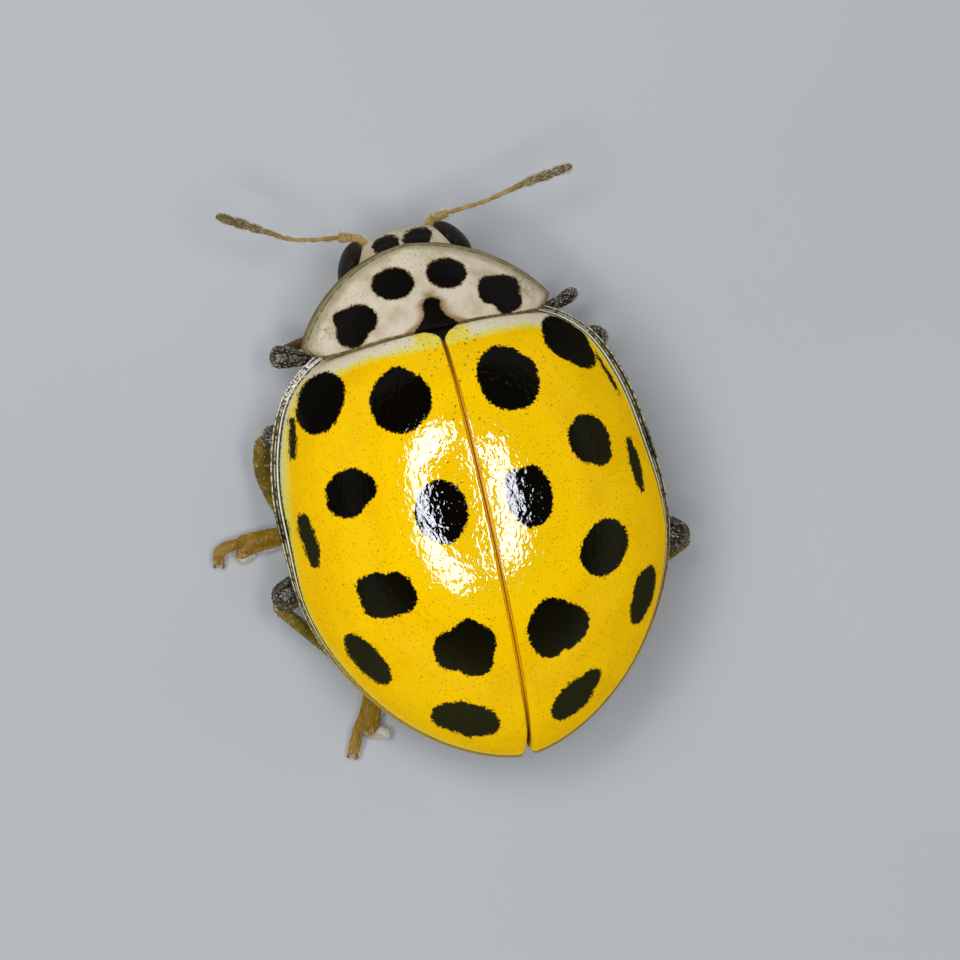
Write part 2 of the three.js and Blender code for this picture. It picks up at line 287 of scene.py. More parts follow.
class Nodes:
    """Short ways to add shader nodes to one material."""

    def __init__(self, name):
        self.material = bpy.data.materials.new(name)
        self.material.use_nodes = True
        self.tree = self.material.node_tree
        self.shader = self.tree.nodes["Principled BSDF"]

    def new(self, kind, **settings):
        node = self.tree.nodes.new(kind)
        for key, value in settings.items():
            setattr(node, key, value)
        return node

    def link(self, source, target):
        if isinstance(source, (int, float)):
            target.default_value = source
        elif isinstance(source, tuple):
            target.default_value = (*source, 1.0)[:4]
        else:
            self.tree.links.new(source, target)

    def layers(self, *names):
        return [self.new("ShaderNodeAttribute", attribute_name=name).outputs["Fac"] for name in names]

    def place(self):
        return self.new("ShaderNodeTexCoord").outputs["Object"]

    def texture(self, kind, vector, output, **inputs):
        node = self.new(f"ShaderNodeTex{kind}")
        self.link(vector, node.inputs["Vector"])
        for name, value in inputs.items():
            node.inputs[name].default_value = value
        return node.outputs[output]

    def noise(self, size, detail=2.0, roughness=0.55):
        """Noise whose lumps are about `size` across."""
        return self.texture("Noise", self.place(), "Fac", Scale=1 / (size * MM), Detail=detail,
                            Roughness=roughness)

    def cells(self, size, randomness=1.0):
        return self.texture("Voronoi", self.place(), "Distance", Scale=1 / (size * MM),
                            Randomness=randomness)

    def strokes(self, along, across, long, wide):
        """Noise in strokes that follow two layers, `long` by `wide` in those layers' own units."""
        join = self.new("ShaderNodeCombineXYZ")
        self.link(self.math("DIVIDE", along, long), join.inputs[0])
        self.link(self.math("DIVIDE", across, wide), join.inputs[1])
        return self.texture("Noise", join.outputs[0], "Fac", Scale=1.0, Detail=2.0)

    def math(self, operation, *values):
        node = self.new("ShaderNodeMath", operation=operation)
        for socket, value in zip(node.inputs, values):
            self.link(value, socket)
        return node.outputs["Value"]

    def times(self, first, second):
        return self.math("MULTIPLY", first, second)

    def without(self, share):
        return self.math("SUBTRACT", 1.0, share)

    def swing(self, noise, reach):
        """Noise moved to lie about 0 and made `reach` from end to end."""
        return self.times(self.math("SUBTRACT", noise, 0.5), reach)

    def distance(self, value, centre):
        return self.math("ABSOLUTE", self.math("SUBTRACT", value, centre))

    def between(self, value, low, high, start=0.0, end=1.0):
        """A smooth rise from `start` to `end` while the value goes from `low` to `high`."""
        node = self.new("ShaderNodeMapRange", interpolation_type="SMOOTHSTEP")
        for socket, item in zip(node.inputs, (value, low, high, start, end)):
            self.link(item, socket)
        return node.outputs["Result"]

    def cloud(self, size, low, high, start=0.0, end=1.0, detail=2.0):
        """Noise of a size, drawn apart by two levels into soft patches."""
        return self.between(self.noise(size, detail), low, high, start, end)

    def mix(self, share, first, second):
        node = self.new("ShaderNodeMix", data_type="RGBA")
        for number, value in ((0, share), (6, first), (7, second)):
            self.link(value, node.inputs[number])
        return node.outputs[2]

    def bump(self, height, distance, strength=1.0, under=None):
        """A normal for a height layer, in millimetres where the layer is 1, over another normal."""
        node = self.new("ShaderNodeBump")
        node.inputs["Strength"].default_value = strength
        node.inputs["Distance"].default_value = distance * MM
        self.link(height, node.inputs["Height"])
        if under is not None:
            self.link(under, node.inputs["Normal"])
        return node.outputs["Normal"]

    def finish(self, color, roughness, normal=None, **sockets):
        self.link(color, self.shader.inputs["Base Color"])
        self.link(roughness, self.shader.inputs["Roughness"])
        if normal is not None:
            self.link(normal, self.shader.inputs["Normal"])
        for key, value in sockets.items():
            self.shader.inputs[key.replace("_", " ")].default_value = value
        return self.material


# ---- colours ----

YELLOW = (0.90, 0.53, 0.0007)
DEEP_YELLOW = (0.85, 0.475, 0.0007)
# painted light: a brighter yellow laid over the dome's top
TOP_PAINTED_LIGHT_YELLOW = (1.0, 0.60, 0.0007)
LIME = (0.74, 0.61, 0.07)
CREAM = (0.70, 0.62, 0.43)
BLACK = (0.0024, 0.0016, 0.0006)
# painted reflection: the olive grey that black spots take low on the dome
SIDE_BLACK_PAINTED_REFLECTION = (0.0180, 0.0172, 0.0048)
EDGE_BROWN = (0.07, 0.032, 0.004)
SEAM_ORANGE = (0.72, 0.31, 0.001)
SEAM_EDGE = (0.34, 0.120, 0.001)
SEAM_LINE = (0.50, 0.20, 0.001)
SEAM_BROWN = (0.20, 0.085, 0.002)
PIT_BROWN = (0.13, 0.034, 0.0005)
RIM_GLASS = (0.036, 0.033, 0.011)
RIM_HAZE = (0.105, 0.096, 0.040)
RIM_TAIL = (0.42, 0.28, 0.012)
# painted highlights on the rim's ridges, white and golden
RIM_PAINTED_HIGHLIGHT = (0.94, 0.92, 0.86)
RIM_GOLD_PAINTED_HIGHLIGHT = (0.74, 0.66, 0.46)
SHIELD_CREAM = (0.65, 0.56, 0.41)
SHIELD_DULL = (0.46, 0.38, 0.235)
SHIELD_SIDE = (0.33, 0.295, 0.165)
SHIELD_CLEAR = (0.22, 0.185, 0.080)
SHIELD_CORNER = (0.32, 0.22, 0.085)
SHIELD_GROOVE = (0.085, 0.066, 0.024)
SHIELD_SCRAWL = (0.25, 0.185, 0.085)
SHIELD_PIT = (0.10, 0.065, 0.022)
SHIELD_STAIN = (0.24, 0.125, 0.030)
SHIELD_HIND_DARK = (0.075, 0.042, 0.009)
SHIELD_HIND_GILT = (0.30, 0.20, 0.055)
SHIELD_LIP_DARK = (0.125, 0.085, 0.028)
SHIELD_LIP_TAN = (0.22, 0.165, 0.070)
SHIELD_EDGE_BROWN = (0.13, 0.07, 0.012)
HEAD_CREAM = (0.54, 0.475, 0.325)
HEAD_DULL = (0.42, 0.36, 0.21)
HEAD_PIT = (0.14, 0.09, 0.03)
EYE_LIGHT = (0.020, 0.011, 0.008)
EYE_DARK = (0.005, 0.003, 0.002)
FLOOR_DARK = (0.47, 0.48, 0.47)
FLOOR_LIGHT = (0.50, 0.51, 0.50)
PLATE_LOOKS = {
    # dark, light, clear coat, sheen
    "black plate": ((0.0022, 0.0018, 0.0014), (0.005, 0.004, 0.003), 0.02, 0.05),
    "under side": ((0.022, 0.013, 0.007), (0.055, 0.032, 0.014), 0.3, 0.5),
}
LIMB_LOOKS = {
    # dark, light, the far end, gloss and the gloss's index of refraction
    "mouthparts": ((0.20, 0.085, 0.02), (0.36, 0.18, 0.05), (0.08, 0.03, 0.01), 0.2, 1.6),
    "feelers": ((0.27, 0.165, 0.030), (0.43, 0.285, 0.075), (0.11, 0.075, 0.026), 0.12, 1.6),
    "femora": ((0.014, 0.009, 0.0020), (0.046, 0.029, 0.0090), (0.018, 0.011, 0.003), 0.36, 1.9),
    "tibiae": ((0.085, 0.060, 0.002), (0.180, 0.125, 0.006), (0.16, 0.09, 0.006), 0.10, 1.7),
    "front tibiae": ((0.050, 0.026, 0.005), (0.105, 0.058, 0.012), (0.10, 0.05, 0.008), 0.10, 1.7),
    "tarsi": ((0.160, 0.084, 0.0010), (0.290, 0.155, 0.002), (0.27, 0.16, 0.040), 0.10, 1.7),
    "claws": ((0.16, 0.07, 0.02), (0.26, 0.12, 0.035), (0.05, 0.02, 0.01), 0.2, 1.6),
}
HAIR_LOOKS = {
    # two colours that drift into each other
    "foot pads": ((0.42, 0.37, 0.26), (0.56, 0.51, 0.40)),
    "feeler hair": ((0.44, 0.33, 0.16), (0.88, 0.78, 0.55)),
    "leg hair": ((0.22, 0.17, 0.09), (0.80, 0.72, 0.56)),
    "leg glints": ((0.66, 0.58, 0.48), (0.97, 0.93, 0.88)),
    "foot hair": ((0.55, 0.36, 0.13), (0.82, 0.64, 0.36)),
    "pad hair": ((0.60, 0.55, 0.45), (0.74, 0.70, 0.62)),
}

# ---- materials ----

STREAK_TURN = math.radians(-45)
INK_SOFTNESS = 0.006


def streaks(n, across, along):
    """Noise drawn out into short strokes that run slantwise over the wing cases."""
    mapping = n.new("ShaderNodeMapping")
    n.link(n.place(), mapping.inputs["Vector"])
    mapping.inputs["Rotation"].default_value = (0, 0, STREAK_TURN)
    mapping.inputs["Scale"].default_value = (1 / (across * MM), 1 / (along * MM), 1 / (across * MM))
    return n.texture("Noise", mapping.outputs["Vector"], "Fac", Scale=1.0, Detail=1.2, Distortion=0.4)


def toothed(n, distance, jag=0.055, teeth=0.040):
    """A spot's distance layer with a jagged, finely toothed edge."""
    coarse = n.swing(n.noise(0.030, 2.0, 0.6), jag)
    fine = n.swing(n.noise(0.011, 2.0, 0.6), teeth)
    return n.math("ADD", distance, n.math("ADD", coarse, fine))


def inked(n, color, edge, fringe, brown, black=BLACK, sharp=0.004):
    """A colour with black spots in it, whose brown fringe starts `fringe` out from their edge."""
    color = n.mix(n.between(edge, fringe, 0.001), color, brown)
    return n.mix(n.between(edge, sharp, sharp - INK_SOFTNESS), color, black)


def elytron_material():
    n = Nodes("elytron shell")
    spot, pit, rim, seam, cream, rear = n.layers("spot", "pit", "rim", "seam", "cream", "rear")
    high, run, seam_end, shoulder, painted_reflection = n.layers("high", "run", "seam_end", "shoulder", "painted_reflection")
    color = n.mix(n.cloud(0.35, 0.35, 0.7), YELLOW, DEEP_YELLOW)
    # painted light: the dome's top is painted a brighter yellow
    color = n.mix(n.between(high, 0.84, 0.94), color, TOP_PAINTED_LIGHT_YELLOW)
    band = n.math("ADD", cream, n.swing(n.noise(0.045, 4.0), 0.085))
    color = n.mix(n.between(band, -0.018, 0.014), color, LIME)
    color = n.mix(n.between(band, 0.014, 0.052), color, CREAM)
    dots = n.times(n.between(n.cells(0.030, 0.8), 0.27, 0.13), n.cloud(0.09, 0.35, 0.65, 0.30, 0.55))
    color = n.mix(n.math("MAXIMUM", dots, n.between(pit, 0.15, 0.60, 0.0, 0.9)), color, PIT_BROWN)

    # the seam: an orange band between darker lines, browner at both ends
    border = n.times(n.between(seam, 1.14, 0.90), n.cloud(0.03, 0.35, 0.6, 0.55, 1.0))
    orange, line = n.between(seam, 0.84, 0.66), n.between(seam, 0.30, 0.10)
    for share, tone in ((border, SEAM_EDGE), (orange, SEAM_ORANGE), (line, SEAM_LINE)):
        color = n.mix(share, color, n.mix(seam_end, tone, SEAM_BROWN))

    # the rim: dark glass, the black spots, then painted highlights over both: white and golden lines, and
    # painted glints at the shoulders
    glass = n.mix(n.cloud(0.014, 0.35, 0.65), RIM_GLASS, RIM_HAZE)
    glass = n.mix(rear, glass, RIM_TAIL)
    # painted glints on the rim at the shoulders
    painted_sparkle = n.between(n.strokes(run, rim, 0.017, 0.30), 0.47, 0.55, 0.0, 0.9)
    glass = n.mix(n.times(shoulder, painted_sparkle), glass, RIM_PAINTED_HIGHLIGHT)
    color = n.mix(n.between(rim, 0.0, 0.10), color, glass)
    color = n.mix(n.times(pit, n.between(rim, 0.0, 0.02)), color, BLACK)
    edge = toothed(n, spot)
    # black spots low on the dome get a painted reflection, olive grey in place of black
    color = inked(n, color, edge, 0.010, EDGE_BROWN, n.mix(painted_reflection, BLACK, SIDE_BLACK_PAINTED_REFLECTION))
    faded = n.without(n.times(rear, 0.75))
    unspotted = n.times(faded, n.without(n.times(n.between(edge, 0.004, -0.002), 0.6)))
    # painted highlight lines along the rim's ridges, two golden and one white
    strokes = n.strokes(run, rim, 0.036, 0.42)
    middle = n.times(n.between(strokes, 0.42, 0.54, 0.0, 0.9), unspotted)
    outer = n.times(n.between(strokes, 0.40, 0.54, 0.10, 0.95), unspotted)
    inner = n.times(n.cloud(0.035, 0.30, 0.46, 0.55, 1.0), faded)
    for centre, reach, strength, tone in ((0.56, 0.07, middle, RIM_GOLD_PAINTED_HIGHLIGHT), (0.89, 0.09, outer, RIM_GOLD_PAINTED_HIGHLIGHT),
                                          (0.28, 0.11, inner, RIM_PAINTED_HIGHLIGHT)):
        near = n.between(n.distance(rim, centre), reach, reach * 0.4)
        color = n.mix(n.times(near, strength), color, tone)

    # the clear coat, uneven enough to break up the ring of lights that it mirrors
    shine = n.times(n.between(high, 0.86, 0.965, 0.02, 1.0), n.between(seam, 0.85, 1.15, 0.30, 1.0))
    n.link(shine, n.shader.inputs["Coat Weight"])
    normal = n.bump(streaks(n, 0.016, 0.024), 0.0006)
    normal = n.bump(dots, -0.0007, under=normal)
    normal = n.bump(streaks(n, 0.048, 0.066), 0.0046, under=normal)
    n.link(normal, n.shader.inputs["Coat Normal"])
    return n.finish(color, n.cloud(0.12, 0.3, 0.7, 0.42, 0.55), normal, Coat_Roughness=0.02, Coat_IOR=2.0,
                    Specular_IOR_Level=0.0)


def shield_material():
    n = Nodes("cream shield")
    spot, pit, stain, margin = n.layers("spot", "pit", "stain", "margin")
    side, worn, corner, hind = n.layers("side", "worn", "corner", "hind")
    color = n.mix(n.cloud(0.16, 0.35, 0.75, detail=3.0), SHIELD_CREAM, SHIELD_DULL)
    color = n.mix(n.between(side, 0.105, 0.030, 0.0, 0.9), color, SHIELD_SIDE)
    clear = n.mix(corner, SHIELD_CLEAR, SHIELD_CORNER)
    color = n.mix(n.between(side, 0.026, 0.014), color, clear)
    groove = n.between(n.distance(side, 0.028), 0.009, 0.003)
    color = n.mix(n.times(groove, n.cloud(0.04, 0.35, 0.55, 0.35, 0.9)), color, SHIELD_GROOVE)
    scrawl = n.between(n.distance(n.noise(0.075), 0.5), 0.050, 0.006)
    scrawl = n.times(scrawl, n.cloud(0.045, 0.42, 0.58, 0.10, 0.85))
    color = n.mix(n.times(scrawl, worn), color, SHIELD_SCRAWL)
    color = n.mix(n.times(pit, 0.8), color, SHIELD_PIT)
    color = n.mix(n.between(stain, 0.075, 0.0, 0.0, 0.85), color, SHIELD_STAIN)
    gilt = n.mix(n.cloud(0.040, 0.46, 0.56), SHIELD_HIND_DARK, SHIELD_HIND_GILT)
    color = n.mix(n.between(hind, 0.022, 0.010), color, gilt)
    lip = n.mix(n.cloud(0.10, 0.3, 0.7), SHIELD_LIP_DARK, SHIELD_LIP_TAN)
    color = n.mix(n.between(margin, 0.012, 0.002), color, lip)
    color = inked(n, color, toothed(n, spot, 0.034, 0.034), 0.018, SHIELD_EDGE_BROWN)
    normal = n.bump(n.noise(0.03, 3.0, 0.6), 0.0015, 0.6)
    return n.finish(color, n.cloud(0.08, 0.3, 0.7, 0.42, 0.55), normal, Coat_Weight=0.02,
                    Coat_Roughness=0.15, Specular_IOR_Level=0.04)


def plate_material(name):
    dark, light, coat, sheen = PLATE_LOOKS[name]
    n = Nodes(name)
    color = n.mix(n.cloud(0.15, 0.35, 0.7, detail=3.0), dark, light)
    fine = n.bump(n.noise(0.0175, 3.0, 0.6), 0.0025, 0.6)
    normal = n.bump(n.cells(0.025), 0.0015, 0.5, under=fine)
    return n.finish(color, n.cloud(0.05, 0.3, 0.7, 0.30, 0.45), normal, Coat_Weight=coat,
                    Coat_Roughness=0.15, Specular_IOR_Level=sheen)


def head_material():
    n = Nodes("head shell")
    spot, pit = n.layers("spot", "pit")
    color = n.mix(n.cloud(0.1, 0.35, 0.7, detail=3.0), HEAD_CREAM, HEAD_DULL)
    color = n.mix(n.times(pit, 0.6), color, HEAD_PIT)
    color = inked(n, color, toothed(n, spot), 0.014, EDGE_BROWN, sharp=0.003)
    normal = n.bump(n.noise(0.018, 3.0, 0.6), 0.002, 0.5)
    return n.finish(color, n.cloud(0.05, 0.3, 0.7, 0.36, 0.5), normal, Coat_Weight=0.04,
                    Coat_Roughness=0.12, Specular_IOR_Level=0.06)


def eye_material():
    n = Nodes("faceted eye")
    lens = n.cells(0.0125)
    color = n.mix(n.between(lens, 0.2, 0.6), EYE_LIGHT, EYE_DARK)
    normal = n.bump(n.times(lens, -1.0), 0.005)
    return n.finish(color, n.cloud(0.03, 0.3, 0.7, 0.30, 0.42), normal, Coat_Weight=0.06,
                    Coat_Roughness=0.10, Specular_IOR_Level=0.08)


def limb_material(name):
    """Leg shell whose `along` layer shades it toward one end; pebbles and gloss give it glints."""
    dark, light, end_dark, gloss, gloss_index = LIMB_LOOKS[name]
    n = Nodes(name)
    drift = n.noise(0.07, 3.0)
    color = n.mix(n.between(drift, 0.3, 0.7), dark, light)
    reach = n.math("ADD", *n.layers("along"), n.times(drift, 0.3))
    color = n.mix(n.between(reach, 0.75, 1.2), color, end_dark)
    fine = n.bump(n.noise(0.012, 3.0, 0.6), 0.0015, 0.8)
    n.link(n.bump(n.cells(0.024), 0.004, under=fine), n.shader.inputs["Coat Normal"])
    return n.finish(color, n.cloud(0.03, 0.3, 0.7, 0.30, 0.48), fine, Coat_Weight=gloss,
                    Coat_Roughness=0.05, Coat_IOR=gloss_index, Specular_IOR_Level=0.05)


def hair_material(name):
    n = Nodes(name)
    color = n.mix(n.cloud(0.05, 0.3, 0.7, detail=1.0), *HAIR_LOOKS[name])
    return n.finish(color, n.cloud(0.03, 0.3, 0.7, 0.35, 0.5, detail=1.0), Specular_IOR_Level=0.6)


# ---- wing cases ----

ROWS = 380
DOME_COLUMNS = 210
SHOULDER_X, SHOULDER_Y = 0.80, -0.76
SHOULDER_SIZE = 0.16
SHOULDER_HEIGHT = 0.022
BASE_ROLL = 0.014
SEAM_DIP = 0.008
SEAM_GAP = 0.0025
PIT_SPACING = 0.050
PIT_TRIES = 15000
PIT_RADIUS = 0.0080
PIT_DEPTH = 0.0007
PLAIN_PITS = 0.03
EDGE_PIT_SPACING = 0.030
EDGE_PIT_RADIUS = 0.0085
EDGE_PIT_DEPTH = 0.0040
RELIEF_SIZE = 0.16
RELIEF_HEIGHT = 0.0009
INSIDE_STEPS = np.array([0.9, 0.75, 0.55, 0.3, 0.0])
INSIDE_GAP = 0.30
INSIDE_TAIL_GAP = 0.25
RIM_STEPS = np.linspace(0.04, 0.96, 21)
# past the rim: the shell's edge, in rim widths, the fold beneath it, in millimetres, and their drop
EDGE_OUT = [1.0, 0.99, 0.86]
FOLD_OUT = [0.0, -0.14, -0.27]
EDGE_AND_FOLD_DROP = [-0.006, -0.022, -0.036, -0.05, -0.062, -0.07]
RIM_END = DOME_COLUMNS + len(RIM_STEPS) + len(EDGE_OUT)

# Black spots on each wing case, seen from above: centre x and y, half length, half width, the turn
# of the long axis from the body's in degrees, and how far the edge bulges out in some directions
SPOTS_LEFT = [
    (0.96, -0.66, 0.24, 0.145, 32, ((130, -0.01),)),
    (0.42, -0.54, 0.24, 0.215, 25, ((-125, -0.02), (-95, 0.02), (120, -0.01))),
    (1.20, -0.45, 0.15, 0.022, 14, ()),
    (0.93, 0.03, 0.19, 0.160, 45, ((130, -0.02), (175, 0.02), (-130, -0.02), (0, -0.02))),
    (1.27, 0.31, 0.20, 0.045, 0, ()),
    (0.33, 0.32, 0.24, 0.190, 8, ((60, -0.02), (-40, -0.01))),
    (0.84, 0.82, 0.21, 0.170, -65, ((0, -0.025), (40, 0.02), (100, -0.02), (-35, 0.015), (-95, -0.015))),
    (1.05, 1.26, 0.23, 0.080, -29, ()),
    (0.36, 1.34, 0.23, 0.200, -70, ((60, -0.035), (-65, -0.03), (120, 0.025), (160, -0.025), (-105, 0.02))),
    (0.44, 1.85, 0.26, 0.115, -65, ((90, 0.01), (-50, -0.01))),
]
SPOTS_RIGHT = [
    (0.93, -0.70, 0.24, 0.150, 37, ((110, -0.02), (180, 0.015), (20, -0.015), (60, 0.015))),
    (0.38, -0.53, 0.25, 0.215, 20, ((-15, 0.015), (-50, -0.015))),
    (1.17, -0.43, 0.14, 0.010, 17, ()),
    (0.88, 0.05, 0.20, 0.160, 20, ((20, -0.02), (60, 0.015), (100, -0.015), (-130, -0.015))),
    (1.20, 0.30, 0.20, 0.036, 0, ()),
    (0.33, 0.34, 0.23, 0.170, 0, ((-95, -0.03), (-125, 0.02), (110, 0.015))),
    (0.80, 0.84, 0.22, 0.170, -45, ((-140, -0.01),)),
    (1.04, 1.25, 0.22, 0.088, -30, ((-175, -0.02),)),
    (0.33, 1.33, 0.23, 0.200, -75, ((-50, -0.025), (-105, 0.02), (80, -0.02), (125, 0.02), (5, 0.02))),
    (0.39, 1.86, 0.23, 0.105, -57, ((-65, -0.02), (-35, 0.02), (0, -0.02))),
]
RIM_SPOT = (1.42, 0.165, 0.12, 0.055, 0, ())
BULGE_SPREAD = 19.0


def outer_half(y):
    """Half the width of the wing cases at a place along the body, out to the rim's edge."""
    forward = y < WIDEST_Y
    reach = np.where(forward, OUTLINE_REACH, TAIL_Y - WIDEST_Y)
    share = np.clip(np.abs(y - WIDEST_Y) / reach, 0, 1)
    fullness = FLANK_FULLNESS * bump_at(y, 0.95, 0.55)
    return SHELL_HALF * (1 - share ** 2.2) ** np.where(forward, 0.26, 0.6) + fullness


def rim_width(y):
    narrowing = (0.6 * smoothstep(y, 0.1, 0.9) + 0.4 * smoothstep(y, 0.9, 1.9)
                 + 0.25 * smoothstep(y, -0.45, -0.80))
    return RIM_AT_SHOULDER + (RIM_AT_TAIL - RIM_AT_SHOULDER) * narrowing


def inset_outline():
    """The foot of the dome: the outer outline brought in by the rim's width."""
    t = np.linspace(0.02, 1, 3000)
    y = WIDEST_Y - OUTLINE_REACH + (TAIL_Y - WIDEST_Y + OUTLINE_REACH) * (1 - np.cos(math.pi * t)) / 2
    x = outer_half(y)
    dx, dy = np.gradient(x), np.gradient(y)
    length = np.hypot(dx, dy)
    inner_x, inner_y = x - rim_width(y) * dy / length, y + rim_width(y) * dx / length
    keep = np.concatenate([[True], inner_y[1:] > np.maximum.accumulate(inner_y)[:-1]]) & (inner_x > 0)
    return inner_y[keep], inner_x[keep]


INSET_Y, INSET_X = inset_outline()
DOME_TAIL = TAIL_Y - RIM_AT_TAIL


def dome_half(y):
    return np.interp(y, np.append(INSET_Y, DOME_TAIL), np.append(INSET_X, 0.0))


def ridge(y):
    """Height of the dome's middle line over the rim's base."""
    forward = y < WIDEST_Y
    reach = np.where(forward, RIDGE_REACH, DOME_TAIL - WIDEST_Y)
    share = np.clip(np.abs(y - WIDEST_Y) / reach, 0, 1)
    return DOME_HEIGHT * (1 - share ** np.where(forward, 2.8, 2.35)) ** np.where(forward, 0.5, 0.55)


def spot_distance(x, y, spot):
    """Rough distance outside a bulging ellipse in millimetres, negative inside it."""
    cx, cy, long, short, turn, bulges = spot
    angle = math.radians(turn)
    along = (x - cx) * math.sin(angle) + (y - cy) * math.cos(angle)
    across = (x - cx) * math.cos(angle) - (y - cy) * math.sin(angle)
    size = np.sqrt((along / long) ** 2 + (across / short) ** 2) + 1e-9
    slope = np.sqrt((along / long ** 2) ** 2 + (across / short ** 2) ** 2) / size + 1e-9
    away = (size - 1) / slope
    heading = np.degrees(np.arctan2(y - cy, x - cx))
    for direction, bulge in bulges:
        off = (heading - direction + 180) % 360 - 180
        away = away - bulge * np.exp(-((off / BULGE_SPREAD) ** 2))
    return away


def nearest_spot(x, y, spots):
    return np.min([spot_distance(x, y, spot) for spot in spots], axis=0)


def surface_normals(grid):
    down = np.gradient(grid, axis=0)
    across = np.gradient(grid, axis=1)
    normal = np.cross(down, across)
    normal /= np.maximum(np.linalg.norm(normal, axis=-1, keepdims=True), 1e-12)
    return normal


def scatter(surface, spacing, tries, rng):
    """Grid places spread evenly but not regularly over a surface, at least `spacing` apart."""
    down = np.linalg.norm(np.diff(surface, axis=0), axis=-1)[:, :-1]
    across = np.linalg.norm(np.diff(surface, axis=1), axis=-1)[:-1]
    area = np.cumsum((down * across).ravel())
    picks = np.searchsorted(area, rng.uniform(0, area[-1], tries))
    taken, chosen = {}, []
    for pick in picks:
        j, i = divmod(int(pick), surface.shape[1] - 1)
        spot = surface[j, i]
        cell = np.floor(spot / spacing).astype(int)
        near = [other for step in np.ndindex(3, 3, 3) for other in taken.get(tuple(cell + step - 1), ())]
        if any(sum((a - b) ** 2 for a, b in zip(spot, other)) < spacing ** 2 for other in near):
            continue
        taken.setdefault(tuple(cell), []).append(spot)
        chosen.append((j, i))
    return np.array(chosen)


def stamp(surface, places, radius, reach, depth=1.0):
    """A layer with a soft round mark at each place, searched for `reach` grid steps around it."""
    rows, columns = surface.shape[:2]
    marks = np.zeros((rows, columns))
    centre = surface[places[:, 0], places[:, 1]]
    for step in np.ndindex(2 * reach + 1, 2 * reach + 1):
        j = np.clip(places[:, 0] + step[0] - reach, 0, rows - 1)
        i = np.clip(places[:, 1] + step[1] - reach, 0, columns - 1)
        away = np.linalg.norm(surface[j, i] - centre, axis=-1)
        np.maximum.at(marks, (j, i), depth * np.exp(-(away / radius) ** 2))
    return marks


def rim_profile(q):
    """Height of the rim above its base, from the dome's foot, q = 0, to the outer edge, q = 1."""
    inner, middle, outer = bump_at(q, 0.30, 0.11), bump_at(q, 0.52, 0.06), bump_at(q, 0.88, 0.10)
    return 0.013 * inner + 0.004 * middle + 0.012 * outer - 0.006 * bump_at(q, 0.08, 0.08)


def seam_half(y):
    """How far the seam's orange band reaches from the middle."""
    return 0.021 - 0.006 * smoothstep(y, 1.6, 2.1) - 0.004 * smoothstep(y, -0.3, -0.9)


def shell_plan():
    """A wing case's rows: place along the body, half width, run and the way out from the dome's foot."""
    t = np.linspace(0, 1, ROWS)
    y = BASE_Y + (DOME_TAIL - BASE_Y) * (0.32 * t + 0.68 * np.sin(t * math.pi / 2))
    half = dome_half(y)
    half[-1] = 0.0
    slope_x, slope_y = np.gradient(half), np.gradient(y)
    length = np.hypot(slope_x, slope_y)
    out = np.stack([slope_y / length, -slope_x / length], axis=-1)
    out[-1] = (0.0, 1.0)
    return y, half, length, out


def dome_grid(row_y, half):
    """The dome, from the seam out to its foot."""
    share = np.sin(np.linspace(0, math.pi / 2, DOME_COLUMNS))
    dome = grid(half[:, None] * share, row_y[:, None],
                RIM_Z + ridge(row_y)[:, None] * (1 - share ** 2.3) ** 0.5)
    x, y = dome[..., 0], dome[..., 1]
    shoulder = bump_at(x, SHOULDER_X, SHOULDER_SIZE) * bump_at(y, SHOULDER_Y, SHOULDER_SIZE)
    dome[..., 2] += SHOULDER_HEIGHT * shoulder
    dome[..., 2] -= BASE_ROLL * bump_at(y, BASE_Y - 0.006, BASE_ROLL)
    dome[..., 2] -= SEAM_DIP * bump_at(x, 0.0, 0.009)
    return dome


def dome_pits(dome, length, rng):
    """Layers of the small pits and of the bold ones in a row at the dome's foot, and that row's places."""
    chosen = scatter(dome, PIT_SPACING, PIT_TRIES, rng)
    place = dome[chosen[:, 0], chosen[:, 1]]
    bold = np.exp(-place[:, 0] / 0.16) * (1 - smoothstep(place[:, 1], -0.3, 1.2))
    chosen = chosen[rng.uniform(0, 1, len(chosen)) < np.maximum(bold, PLAIN_PITS)]
    size = PIT_RADIUS * rng.uniform(0.75, 1.20, len(chosen))
    dots = stamp(dome, chosen, size, 4, rng.uniform(0.5, 1.0, len(chosen)))
    rows = np.searchsorted(np.cumsum(length), np.arange(0.02, length.sum(), EDGE_PIT_SPACING))
    rows = np.clip(rows + rng.integers(-1, 2, len(rows)), 0, ROWS - 1)
    places = np.stack([rows, DOME_COLUMNS - 3 - rng.integers(0, 4, len(rows))], axis=-1)
    return dots, stamp(dome, places, EDGE_PIT_RADIUS, 4), rows


def rim_grid(y, half, out):
    """The glassy rim, its edge and the fold beneath, and how far out each point is in rim widths."""
    width = rim_width(y)[:, None]
    run = np.concatenate([width * RIM_STEPS, width * EDGE_OUT, width * 0 + FOLD_OUT], axis=1)
    drop = np.concatenate([rim_profile(RIM_STEPS), EDGE_AND_FOLD_DROP])
    on_rim = np.arange(len(drop)) < len(RIM_STEPS)
    lowered = drop * np.where(on_rim, 0.35 + 0.65 * width / RIM_AT_SHOULDER, 1)
    x, y = half[:, None] + out[:, :1] * run, y[:, None] + out[:, 1:] * run
    return grid(np.maximum(x, 0), y, RIM_Z + lowered), run / width


def inside_grid(y, half):
    """The inside of a wing case, which nothing shows."""
    height = np.maximum(ridge(y) - 0.14, 0)[:, None] * np.sqrt(1 - INSIDE_STEPS ** 2)
    return grid(np.maximum(half - INSIDE_GAP, 0)[:, None] * INSIDE_STEPS,
                np.minimum(y, DOME_TAIL - INSIDE_TAIL_GAP)[:, None], RIM_Z - 0.08 + height)


